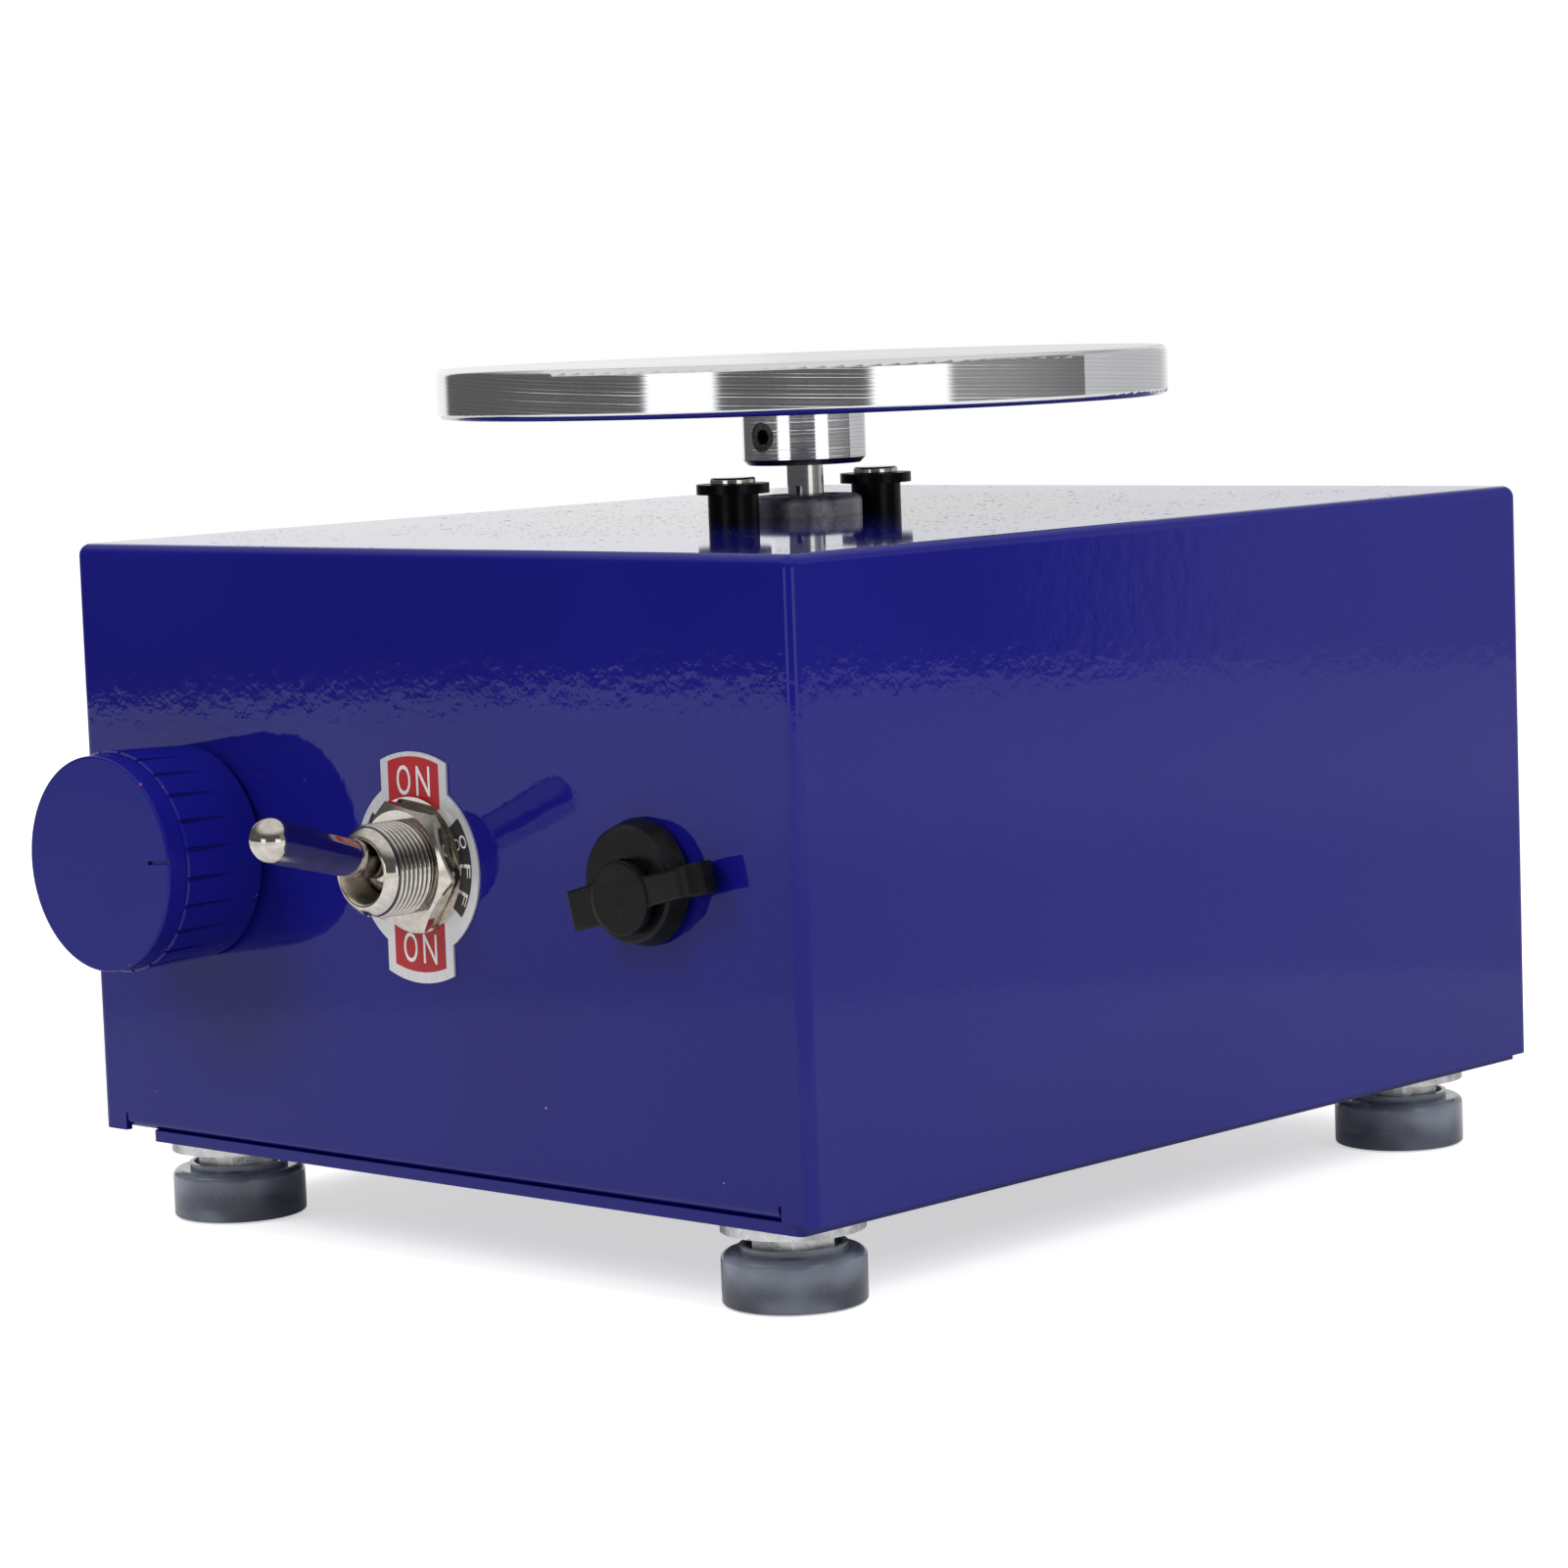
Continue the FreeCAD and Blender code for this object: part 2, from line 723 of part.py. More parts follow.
# turntable: a disc and its hub turned from one bar, with a set screw that bites on the shaft's flat
def turntable():
    hub, rim, bore = d.hub_diameter / 2, d.table_diameter / 2, d.shaft_diameter / 2
    top = d.hub_length + d.table_thickness
    body = turned("turntable", [
        (bore, 0), (hub, 0), (hub, d.hub_length), (rim, d.hub_length), (rim, top),
        (0, top), (0, d.bore_depth), (bore, d.bore_depth),
    ])
    ease(body, "Fillet", d.table_chamfer, round_edge(d.table_diameter, top))
    ease(body, "Fillet", d.table_chamfer, round_edge(d.table_diameter, d.hub_length))
    ease(body, "Chamfer", d.hub_chamfer, round_edge(d.hub_diameter, 0))
    screw_hole = sketch_on(body, "XZ_Plane")
    ring_line(screw_hole, 0, d.hub_length / 2, d.set_screw_diameter)
    pocket(body, screw_hole, hub + 1, reverse=True)
    node(place(body, ZERO, d.casing_back, hub_low), "turntable")

    inner_end = bore - d.shaft_flat
    outer_end = hub - d.set_screw_recess
    body = turned("hub_set_screw", [
        (0, inner_end), (d.set_screw_diameter / 2, inner_end), (d.set_screw_diameter / 2, outer_end),
        (0, outer_end),
    ])
    socket = sketch_on(body, "XY_Plane", outer_end)
    hexagon(socket, d.set_screw_socket)
    pocket(body, socket, d.set_screw_socket)
    node(place(body, ZERO, d.casing_back, hub_low + d.hub_length / 2, TURN_OUT), "hub_set_screw")


# motor: heights are measured from its front face, which is clamped to the underside of the casing top
def hang(thing, label):
    return node(place(thing, ZERO, d.casing_back, casing_under), label)


def motor_can():
    can, inside = d.motor_diameter / 2, d.motor_diameter / 2 - d.motor_wall
    boss, seat, mouth = d.boss_diameter / 2, d.front_bearing_diameter / 2, d.boss_mouth / 2
    seat_top = d.boss_height - d.boss_lip
    body = turned("motor_can", [
        (mouth, d.boss_height), (boss, d.boss_height), (boss, 0), (can, 0), (can, -d.motor_length),
        (inside, -d.motor_length), (inside, -d.motor_face), (seat, -d.motor_face), (seat, seat_top),
        (mouth, seat_top),
    ])
    ease(body, "Fillet", d.boss_round, round_edge(d.boss_diameter, d.boss_height))
    ease(body, "Fillet", d.motor_wall, round_edge(d.motor_diameter, 0))
    holes = sketch_on(body, "XY_Plane", as_size(1))
    for side in (-1, 1):
        ring_line(holes, 0, d.motor_screw_spacing * side / 2, d.motor_screw_diameter)
        ring_line(holes, d.vent_circle * side / 2, 0, d.vent_diameter)
    pocket(body, holes, d.motor_face * 3)
    hang(body, "motor_can")


def motor_bearings():
    shaft = d.shaft_diameter + d.running_clearance * 2
    tail = d.shaft_tail_diameter + d.running_clearance * 2
    top = d.boss_height - d.boss_lip
    body = ring("motor_front_bearing", d.front_bearing_diameter, shaft, top - d.front_bearing_width,
                d.front_bearing_width)
    shield = sketch_on(body, "XY_Plane", top)
    ring_line(shield, 0, 0, d.shield_outer)
    ring_line(shield, 0, 0, d.shield_inner)
    pocket(body, shield, d.shield_depth)
    hang(body, "motor_front_bearing")
    low = -d.motor_length - d.end_cap_thickness * 2
    hang(ring("motor_rear_bearing", d.rear_bearing_diameter, tail, low, d.rear_bearing_length),
         "motor_rear_bearing")


def motor_shaft():
    shaft, tail = d.shaft_diameter / 2, d.shaft_tail_diameter / 2
    top = hub_low + d.bore_depth - casing_under
    step = -d.motor_length + d.shaft_tail_step
    low = -d.motor_length - d.end_cap_thickness * 2 + d.shaft_end_air
    body = turned("motor_shaft", [(0, low), (tail, low), (tail, step), (shaft, step), (shaft, top), (0, top)])
    flat = sketch_on(body, "XY_Plane", top)
    rectangle(flat, -shaft, -shaft - 1, shaft, -shaft + d.shaft_flat)
    pocket(body, flat, d.shaft_flat_length)
    hang(body, "motor_shaft")


def motor_magnets():
    outer = d.motor_diameter - d.motor_wall * 2
    low, high = -d.magnet_top - d.magnet_length, -d.magnet_top
    arcs = []
    for i, side in enumerate((0, 180)):
        body = drum(f"magnet_outer_{i}", outer, low, high, angle=DIMENSIONS["magnet_span"])
        core = drum(f"magnet_core_{i}", outer - d.magnet_thickness * 2, low, high)
        arc = cut(f"magnet_{i}", body, core)
        spin = FreeCAD.Rotation(FreeCAD.Vector(0, 0, 1), side - DIMENSIONS["magnet_span"] / 2)
        arcs.append(place(arc, ZERO, ZERO, ZERO, spin))
    hang(group("motor_magnets", arcs), "motor_magnets")


def motor_armature():
    top, low = -d.armature_top, -d.armature_top - d.armature_length
    core = d.armature_diameter / 2
    shaft = d.shaft_diameter / 2
    body = turned("motor_armature", [(shaft, low), (core, low), (core, top), (shaft, top)])
    slot = sketch_on(body, "XY_Plane", top)
    ring_line(slot, d.slot_circle / 2, 0, d.slot_diameter)
    bore = pocket(body, slot, d.armature_length)
    around(body, bore, d.slot_count)
    doc.recompute()
    mouth = sketch_on(body, "XY_Plane", top)
    rectangle(mouth, d.slot_circle / 2, -d.slot_mouth / 2, core + 1, d.slot_mouth / 2)
    around(body, pocket(body, mouth, d.armature_length), d.slot_count)
    hang(body, "motor_armature")

    # the end turns of the windings stand as a rounded ring on each face of the core
    outer, inner, crown = d.winding_outer / 2, d.winding_inner / 2, d.winding_height
    shoulder = d.winding_shoulder
    ends = []
    for face, way in ((top, 1), (low, -1)):
        ends.append([
            (inner, face), (outer, face), (outer, face + (crown - shoulder) * way),
            (outer - shoulder, face + crown * way), (inner + shoulder, face + crown * way),
            (inner, face + (crown - shoulder) * way),
        ])
    hang(turned("armature_windings", *ends), "armature_windings")

    bar_top = low - d.winding_height - d.commutator_air
    bar_low = bar_top - d.commutator_length
    round_bar = d.commutator_diameter / 2
    body = turned("motor_commutator", [
        (shaft, bar_low), (round_bar, bar_low), (round_bar, bar_top), (shaft, bar_top),
    ])
    gap = sketch_on(body, "XY_Plane", bar_top)
    rectangle(gap, round_bar - d.gap_depth, -d.commutator_gap / 2, round_bar + d.gap_depth,
              d.commutator_gap / 2)
    around(body, pocket(body, gap, d.commutator_length), d.slot_count)
    hang(body, "motor_commutator")
    return (bar_top + bar_low) / 2


def motor_brush_gear(level):
    """Carbon brushes in brass boxes on the end cap, either side of the commutator."""
    cap_top = -d.motor_length
    half = d.brush_size / 2
    near_end = d.commutator_diameter / 2 + d.brush_air
    far_end = near_end + d.brush_length
    box_half = half + d.holder_wall
    brushes, holders, blades = [], [], []
    for i, side in enumerate((-1, 1)):
        spin = FreeCAD.Rotation(FreeCAD.Vector(0, 0, 1), 90 - 90 * side)
        brush = block(f"brush_bar_{i}", near_end, far_end, -half, half, level - half, level + half)
        brushes.append(place(group(f"brush_{i}", [brush]), ZERO, ZERO, ZERO, spin))
        shell = block(f"holder_shell_{i}", near_end + d.holder_setback, far_end, -box_half, box_half,
                      cap_top, level + box_half)
        slot = block(f"holder_slot_{i}", near_end, far_end + 1, -half, half, level - half, level + half)
        holders.append(place(cut(f"holder_{i}", shell, slot), ZERO, ZERO, ZERO, spin))
        blade_start = far_end + d.holder_setback
        blade = block(f"blade_bar_{i}", blade_start, blade_start + d.blade_thickness, -half, half,
                      cap_top - d.end_cap_depth - d.blade_reach, cap_top - d.end_cap_thickness)
        blades.append(place(group(f"blade_{i}", [blade]), ZERO, ZERO, ZERO, spin))
    hang(group("motor_brushes", brushes), "motor_brushes")
    hang(group("brush_holders", holders), "brush_holders")
    hang(group("motor_terminals", blades), "motor_terminals")


def motor_end_cap():
    can, inside = d.motor_diameter / 2, d.motor_diameter / 2 - d.motor_wall
    top, low = -d.motor_length, -d.motor_length - d.end_cap_thickness
    seat, boss = d.rear_bearing_diameter / 2, d.end_cap_boss / 2
    foot = -d.motor_length - d.end_cap_depth
    wall = inside - d.end_cap_wall
    body = turned("motor_end_cap", [
        (seat, top), (wall, top), (wall, top + d.end_cap_rim), (inside, top + d.end_cap_rim),
        (inside, top), (can, top), (can, low), (boss, low), (boss, foot), (0, foot),
        (0, low - d.end_cap_thickness), (seat, low - d.end_cap_thickness),
    ])
    hang(body, "motor_end_cap")


# motor mounting: each screw passes a flanged rubber bush on the casing top and ends in the motor's face
def motor_mounting():
    bore, body, lip = d.rubber_bore / 2, d.rubber_diameter / 2, d.rubber_flange / 2
    top = d.rubber_height
    flare = d.screw_head_diameter / 2 - d.screw_head_margin
    bush = [
        (bore, 0), (body, 0), (body, top - d.rubber_flange_height), (lip, top - d.rubber_flange_height),
        (lip, top), (flare, top), (bore, top - flare + bore),
    ]
    shank = d.motor_screw_diameter / 2
    head = d.screw_head_diameter / 2
    cone_low = top - flare + shank
    cone_top = cone_low + head - shank
    head_top = cone_top + d.screw_head_rim
    screw = turned("motor_screw", [
        (0, -d.screw_reach), (shank, -d.screw_reach), (shank, cone_low), (head, cone_top), (head, head_top),
        (0, head_top),
    ])
    ease(screw, "Fillet", d.screw_head_round, round_edge(d.screw_head_diameter, head_top))
    spots = []
    for name, side in (("front", -1), ("rear", 1)):
        spot = (ZERO, d.casing_back + d.motor_screw_spacing * side / 2, casing_top)
        spots.append(spot)
        node(place(turned("motor_bush_" + name, bush), *spot), "motor_bush_" + name)
    node(copies("motor_screws", screw, spots), "motor_screws")


# speed knob: a stepped face, a fluted grip and a hollow back that covers the potentiometer's nut
def speed_knob():
    face, grip, back = d.knob_face_diameter / 2, d.knob_grip_diameter / 2, d.knob_back_diameter / 2
    low, top = d.knob_air, d.knob_length
    step_low = top - d.knob_step
    grip_top = step_low - d.knob_shoulder
    cavity = back - d.knob_wall
    hub, bore = d.knob_hub_diameter / 2, d.pot_shaft_diameter / 2
    body = turned("speed_knob", [
        (bore, d.knob_hub_low), (hub, d.knob_hub_low), (hub, d.knob_cavity), (cavity, d.knob_cavity),
        (cavity, low), (back, low), (grip, grip_top), (face + d.knob_ledge, step_low), (face, step_low), (face, top),
        (0, top), (0, d.knob_bore_depth), (bore, d.knob_bore_depth),
    ])
    ease(body, "Fillet", d.knob_edge, round_edge(d.knob_face_diameter, top))
    doc.recompute()
    flute = sketch_on(body, "XY_Plane", d.flute_low)
    reach = grip - d.flute_depth + d.flute_diameter / 2
    turn = math.radians(DIMENSIONS["flute_turn"])
    ring_line(flute, reach * math.cos(turn), reach * math.sin(turn), d.flute_diameter)
    around(body, pocket(body, flute, top - d.flute_low - d.knob_step, reverse=True), d.flute_count)
    doc.recompute()
    pointer = sketch_on(body, "XY_Plane", top)
    rectangle(pointer, d.pointer_start, -d.pointer_width / 2, face + 1, d.pointer_width / 2)
    pocket(body, pointer, d.pointer_depth)
    on_panel(body, KNOB_SPOT, "speed_knob", DIMENSIONS["pointer_angle"])


# potentiometer: a round can behind the panel, clamped by the nut on its threaded bush
def potentiometer():
    can, wall = d.pot_diameter / 2, d.pot_wall
    bush, bore = d.pot_bush_diameter / 2, d.pot_shaft_diameter / 2 + d.running_clearance
    inner = -d.sheet
    back = inner - d.pot_depth
    plate = inner - d.pot_plate
    body = turned("pot_body", [
        (bush, inner), (can, inner), (can, back), (0, back), (0, back + wall), (can - wall, back + wall),
        (can - wall, plate), (bush, plate),
    ])
    on_panel(body, KNOB_SPOT, "pot_body")
    lip, lip_low = bush + d.pot_bush_lip, plate - d.pot_bush_lip_height
    bush_body = turned("pot_bush", [
        (bore, lip_low), (lip, lip_low), (lip, plate), (bush, plate),
        (bush, d.pot_bush_reach), (bore, d.pot_bush_reach),
    ])
    on_panel(bush_body, KNOB_SPOT, "pot_bush")
    shaft, wiper = d.pot_shaft_diameter / 2, d.pot_wiper_diameter / 2
    disc_low = back + wall + d.pot_wiper_air
    disc_top = disc_low + d.pot_wiper_thickness
    shaft_body = turned("pot_shaft", [
        (0, disc_low), (wiper, disc_low), (wiper, disc_top), (shaft, disc_top),
        (shaft, d.knob_bore_depth), (0, d.knob_bore_depth),
    ])
    on_panel(shaft_body, KNOB_SPOT, "pot_shaft", DIMENSIONS["pointer_angle"])
    washer = ring("pot_washer", d.pot_washer_diameter, d.pot_bush_diameter, 0, d.pot_washer_height)
    on_panel(washer, KNOB_SPOT, "pot_washer")
    nut = hex_nut("pot_nut", d.pot_nut_flats, d.pot_bush_diameter, d.pot_washer_height, d.pot_nut_height)
    on_panel(nut, KNOB_SPOT, "pot_nut")
    lugs = []
    level = inner - d.pot_lug_level
    for i in (-1, 0, 1):
        middle = d.lug_pitch * i
        lug = block(f"pot_lug_{i + 1}", middle - d.lug_width / 2, middle + d.lug_width / 2,
                    -d.board_drop, d.pot_lug_entry - can, level, level + d.lug_thickness)
        lugs.append(lug)
    can_space = drum("pot_lug_space", d.pot_diameter, back, inner)
    on_panel(cut("pot_terminals", fuse("pot_lugs", *lugs), can_space), KNOB_SPOT, "pot_terminals")


# toggle switch: a threaded bush through the panel, the bat lever that rocks in it, and the housing behind
def toggle_switch():
    thick = d.legend_thickness
    lobes = doc.addObject("Part::Common", "legend_lobes")
    half, tall, drop = d.legend_lobe_width / 2, d.legend_height / 2, d.legend_drop
    lobes.Base = drum("legend_round", d.legend_height, ZERO, thick, 0, -drop)
    lobes.Tool = block("legend_band", -half, half, -tall - drop, tall - drop, ZERO, thick)
    disc = fuse("legend_disc", lobes, drum("legend_ring", d.legend_diameter, ZERO, thick, 0, -drop))
    legend = cut("legend", disc, drum("legend_hole", d.toggle_diameter, ZERO, thick))
    on_panel(legend, SWITCH_SPOT, "toggle_legend_plate")
    washer = ring("toggle_washer", d.toggle_washer_diameter, d.toggle_diameter, thick, d.toggle_washer_height)
    on_panel(washer, SWITCH_SPOT, "toggle_washer")
    nut_low = thick + d.toggle_washer_height
    nut = hex_nut("toggle_nut", d.toggle_nut_flats, d.toggle_diameter, nut_low, d.toggle_nut_height,
                  DIMENSIONS["toggle_nut_turn"])
    on_panel(nut, SWITCH_SPOT, "toggle_nut")

    thread, mouth, neck, bore = (v / 2 for v in (d.toggle_diameter, d.toggle_mouth, d.toggle_neck, d.toggle_bore))
    low, top = -d.sheet - d.lock_washer_height, d.toggle_reach
    seat = d.pivot_reach + d.seat_start
    body = turned("toggle_bush", [
        (mouth, top), (thread - d.toggle_edge, top), (thread, top - d.toggle_bevel), (thread, low),
        (bore, low), (bore, seat), (neck, seat + d.seat_length),
    ])
    keyway = sketch_on(body, "XY_Plane", top)
    rectangle(keyway, -d.keyway_width / 2, -thread - 1, d.keyway_width / 2, -thread + d.keyway_depth)
    pocket(body, keyway, d.toggle_reach - nut_low - d.toggle_nut_height)
    on_panel(body, SWITCH_SPOT, "toggle_bush")
    lock = ring("toggle_lock_washer", d.lock_washer_diameter, d.toggle_diameter, low, d.lock_washer_height)
    on_panel(lock, SWITCH_SPOT, "toggle_lock_washer")

    # lever: a ball that rocks in the bush, a slim neck, and a bat that swells to its round end
    tail, slim, tip = d.lever_tail_diameter / 2, d.lever_neck / 2, d.lever_tip / 2
    lever = turned("toggle_lever", [
        (0, -d.lever_tail), (tail, -d.lever_tail), (tail, -d.lever_neck_low), (slim, d.lever_neck_low),
        (slim, d.lever_neck_top), (d.lever_waist / 2, d.lever_waist_level), (tip, d.lever_length),
        (0, d.lever_length),
    ])
    doc.recompute()
    for level, diameter in ((ZERO, d.lever_ball), (d.lever_length, d.lever_tip)):
        ball = lever.newObject("PartDesign::AdditiveSphere", "lever_ball")
        bind(ball, "Radius", diameter / 2)
        ball.AttachmentSupport = [(origin(lever, "XY_Plane"), "")]
        ball.MapMode = "FlatFace"
        bind(ball, "AttachmentOffset.Base.z", level)
    tilt = FreeCAD.Rotation(FreeCAD.Vector(1, 0, 0), 90 - DIMENSIONS["lever_tilt"])
    node(place(lever, d.switch_x, panel - d.pivot_reach, SWITCH_SPOT[1], tilt), "toggle_lever")

    wide, high = d.housing_width / 2, d.housing_height / 2
    shell = block("housing_block", -wide, wide, -high, high, low - d.housing_depth, low)
    space = block("housing_space", -wide / 2, wide / 2, -high / 2, high / 2, low - d.housing_cavity, low)
    on_panel(cut("housing", shell, space), SWITCH_SPOT, "toggle_housing")
    lugs = []
    back = low - d.housing_depth
    for i, side in enumerate((-1, 1)):
        for j in (-1, 0, 1):
            middle_x, middle_y = d.lug_pitch * side, d.lug_pitch * 2 * j
            lugs.append(block(
                f"toggle_lug_{i}_{j + 1}", middle_x - d.lug_width, middle_x + d.lug_width,
                middle_y - d.lug_thickness, middle_y + d.lug_thickness,
                back - d.toggle_lug_length, back))
    on_panel(group("toggle_terminals", lugs), SWITCH_SPOT, "toggle_terminals")


# power inlet: a barrel socket with a coned flange, held by a nut behind the panel
def power_inlet():
    x, level = JACK_SPOT
    ring_top = d.strap_thickness
    front, back = d.jack_flange_front / 2, d.jack_flange_back / 2
    reach, thread, socket = d.jack_flange_reach, d.jack_thread / 2, d.jack_socket / 2
    body = turned("jack_body", [
        (socket, reach), (front - d.jack_edge, reach), (front, reach - d.jack_edge), (back, ring_top),
        (thread, ring_top), (thread, -d.jack_depth), (0, -d.jack_depth), (0, -d.jack_socket_depth),
        (socket, -d.jack_socket_depth),
    ])
    on_panel(body, JACK_SPOT, "jack_body")
    pin_top = reach - d.jack_pin_recess
    pin = turned("jack_pin", [
        (0, -d.jack_socket_depth), (d.jack_pin_diameter / 2, -d.jack_socket_depth),
        (d.jack_pin_diameter / 2, pin_top - d.jack_pin_chamfer),
        (d.jack_pin_diameter / 2 - d.jack_pin_chamfer, pin_top), (0, pin_top),
    ])
    on_panel(pin, JACK_SPOT, "jack_pin")
    nut_low = -d.sheet - d.jack_nut_height
    nut = hex_nut("jack_nut", d.jack_nut_flats, d.jack_thread, nut_low, d.jack_nut_height)
    on_panel(nut, JACK_SPOT, "jack_nut")
    lugs = []
    for i, side in enumerate((-1, 1)):
        middle = d.lug_pitch * side / 2
        lugs.append(block(f"jack_lug_{i}", middle - d.lug_width / 2, middle + d.lug_width / 2,
                          -d.lug_thickness / 2, d.lug_thickness / 2,
                          -d.jack_depth - d.jack_lug_length, -d.jack_depth))
    on_panel(group("jack_terminals", lugs), JACK_SPOT, "jack_terminals")

    # dust cap: a soft disc with a pull tab, shown pulled off and hanging in front of the socket
    low, top = d.cap_low, d.cap_low + d.cap_thickness
    disc = turned("cap_disc", [
        (0, low - d.cap_boss_height), (d.cap_boss_diameter / 2, low - d.cap_boss_height),
        (d.cap_boss_diameter / 2, low), (d.cap_diameter / 2, low), (d.cap_diameter / 2, top), (0, top),
    ])
    tab = sketch_on(disc, "XY_Plane", low)
    half = d.tab_width / 2
    rectangle(tab, -d.tab_reach, -half, -d.cap_diameter / 4, half)
    pad(disc, tab, d.cap_thickness)
    ease(disc, "Fillet", d.cap_edge, lambda edge, middle: near(middle.z, top))
    turn = FreeCAD.Rotation(FreeCAD.Vector(0, 0, 1), DIMENSIONS["cap_turn"])
    cosine = math.cos(math.radians(DIMENSIONS["cap_turn"]))
    sine = math.sin(math.radians(DIMENSIONS["cap_turn"]))
    cap_x = x + d.cap_along * cosine - d.cap_aside * sine
    cap_z = level + d.cap_along * sine + d.cap_aside * cosine
    node(place(disc, cap_x, panel, cap_z, TURN_OUT.multiply(turn)), "dust_cap")

    # strap: it leaves the cap, turns back to the panel and ends in the ring under the flange
    thick, run = d.strap_thickness, d.strap_run
    leg = (low + top) / 2
    across = leg + thick / 2
    left, right = d.cap_aside - d.strap_width / 2, d.cap_aside + d.strap_width / 2
    bend_outer = drum("strap_bend_outer", across, ZERO, d.strap_width, angle=180)
    bend_inner = drum("strap_bend_inner", across - thick * 2, ZERO, d.strap_width, angle=180)
    bend = cut("strap_bend", bend_outer, bend_inner)
    place(bend, run, right, across / 2, TURN_OUT.multiply(FreeCAD.Rotation(FreeCAD.Vector(0, 0, 1), -90)))
    start = d.cap_along + d.cap_diameter / 2 + d.strap_air
    upper = block("strap_upper", start, run, left, right, leg - thick / 2, across)
    lower = block("strap_lower", d.jack_thread / 2 + d.strap_air, run, left, right, ZERO, thick)
    collar = cut("strap_collar", drum("strap_ring", d.ring_diameter, ZERO, thick),
                 drum("strap_ring_hole", d.jack_thread, ZERO, thick))
    strap = fuse("strap", bend, upper, lower, collar)
    node(place(strap, x, panel, level, TURN_OUT.multiply(turn)), "cap_strap")


# speed board: a circuit board soldered to the potentiometer's lugs, with its larger components
def speed_board():
    left, right = d.knob_x - d.board_width / 2, d.knob_x + d.board_width / 2
    front = panel + d.sheet + d.board_gap
    back = front + d.board_depth
    top = KNOB_SPOT[1] - d.board_drop
    node(block("board", left, right, front, back, top - d.board_thickness, top), "speed_board")
    can_x, can_y = left + d.capacitor_diameter, back - d.block_depth - d.capacitor_diameter * 1.5
    can = drum("capacitor", d.capacitor_diameter, top, top + d.capacitor_height, can_x, can_y)
    node(can, "board_capacitor")
    body = block("block_body", d.knob_x - d.block_width / 2, d.knob_x + d.block_width / 2,
                 back - d.block_depth, back, top, top + d.block_height)
    holes = []
    for i in range(4):
        hole_x = d.knob_x - d.block_width / 2 + d.block_width * (2 * i + 1) / 8
        hole = drum(f"block_hole_{i}", d.block_hole, ZERO, d.block_depth)
        place(hole, hole_x, back + 1, top + d.block_height / 3, TURN_OUT)
        holes.append(hole)
    node(cut("terminal_block_body", body, fuse("block_holes", *holes)), "board_terminal_block")
    sink_x, sink_y = right - d.sink_depth, front + d.sink_setback
    fins = [block("sink_back", sink_x, sink_x + d.fin_thickness * 2, sink_y, sink_y + d.sink_width,
                  top, top + d.sink_height)]
    for i in range(int(DIMENSIONS["fin_count"])):
        fin_y = sink_y + (d.sink_width - d.fin_thickness) * i / (DIMENSIONS["fin_count"] - 1)
        fins.append(block(f"sink_fin_{i}", sink_x, sink_x + d.sink_depth, fin_y, fin_y + d.fin_thickness,
                          top, top + d.sink_height))
    node(fuse("sink", *fins), "transistor_heat_sink")
    chip_y = sink_y + (d.sink_width - d.chip_width) / 2
    chip = block("transistor", sink_x - d.chip_thickness, sink_x, chip_y, chip_y + d.chip_width,
                 top, top + d.chip_height)
    node(chip, "power_transistor")


casing_shell()
bottom_plate()
feet()
turntable()
motor_can()
motor_bearings()
motor_shaft()
motor_magnets()
motor_brush_gear(motor_armature())
motor_end_cap()
motor_mounting()
speed_knob()
potentiometer()
toggle_switch()
power_inlet()
speed_board()
doc.recompute()

for item in doc.Objects:
    if "Invalid" in item.State or "Error" in item.State:
        raise RuntimeError(f"{item.Name} failed: {item.State}")
for item in NODES:
    if item.Shape.isNull() or not item.Shape.isValid() or not item.Shape.Solids:
        raise RuntimeError(f"{item.Label} has no valid shape")
os.makedirs("parts", exist_ok=True)
for item in NODES:
    item.Shape.exportStep(f"parts/{item.Label}.step")
whole = FreeCAD.BoundBox()
for item in NODES:
    whole.add(item.Shape.BoundBox)
print(len(NODES), "nodes", whole)
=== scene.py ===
import json
import math
import bmesh
import bpy
from mathutils import Matrix, Vector


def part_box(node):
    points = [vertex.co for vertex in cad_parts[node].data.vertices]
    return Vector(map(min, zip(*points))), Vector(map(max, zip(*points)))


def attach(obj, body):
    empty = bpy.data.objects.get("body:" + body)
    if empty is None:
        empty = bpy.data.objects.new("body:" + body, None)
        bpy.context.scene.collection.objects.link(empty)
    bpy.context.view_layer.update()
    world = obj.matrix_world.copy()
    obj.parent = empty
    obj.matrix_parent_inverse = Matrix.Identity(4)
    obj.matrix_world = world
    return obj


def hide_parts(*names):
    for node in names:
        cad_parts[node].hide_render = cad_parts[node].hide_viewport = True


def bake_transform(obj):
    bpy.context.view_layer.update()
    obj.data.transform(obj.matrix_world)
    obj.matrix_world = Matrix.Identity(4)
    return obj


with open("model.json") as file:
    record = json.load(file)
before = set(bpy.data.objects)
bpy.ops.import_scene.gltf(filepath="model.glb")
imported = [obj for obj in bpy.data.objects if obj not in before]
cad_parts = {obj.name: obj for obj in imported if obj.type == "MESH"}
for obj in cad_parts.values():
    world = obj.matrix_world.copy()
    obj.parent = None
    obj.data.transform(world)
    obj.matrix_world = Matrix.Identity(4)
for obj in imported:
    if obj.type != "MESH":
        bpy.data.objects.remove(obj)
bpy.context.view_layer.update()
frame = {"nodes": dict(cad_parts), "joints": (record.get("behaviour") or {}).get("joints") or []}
nodes = frame["nodes"]
scene = bpy.context.scene


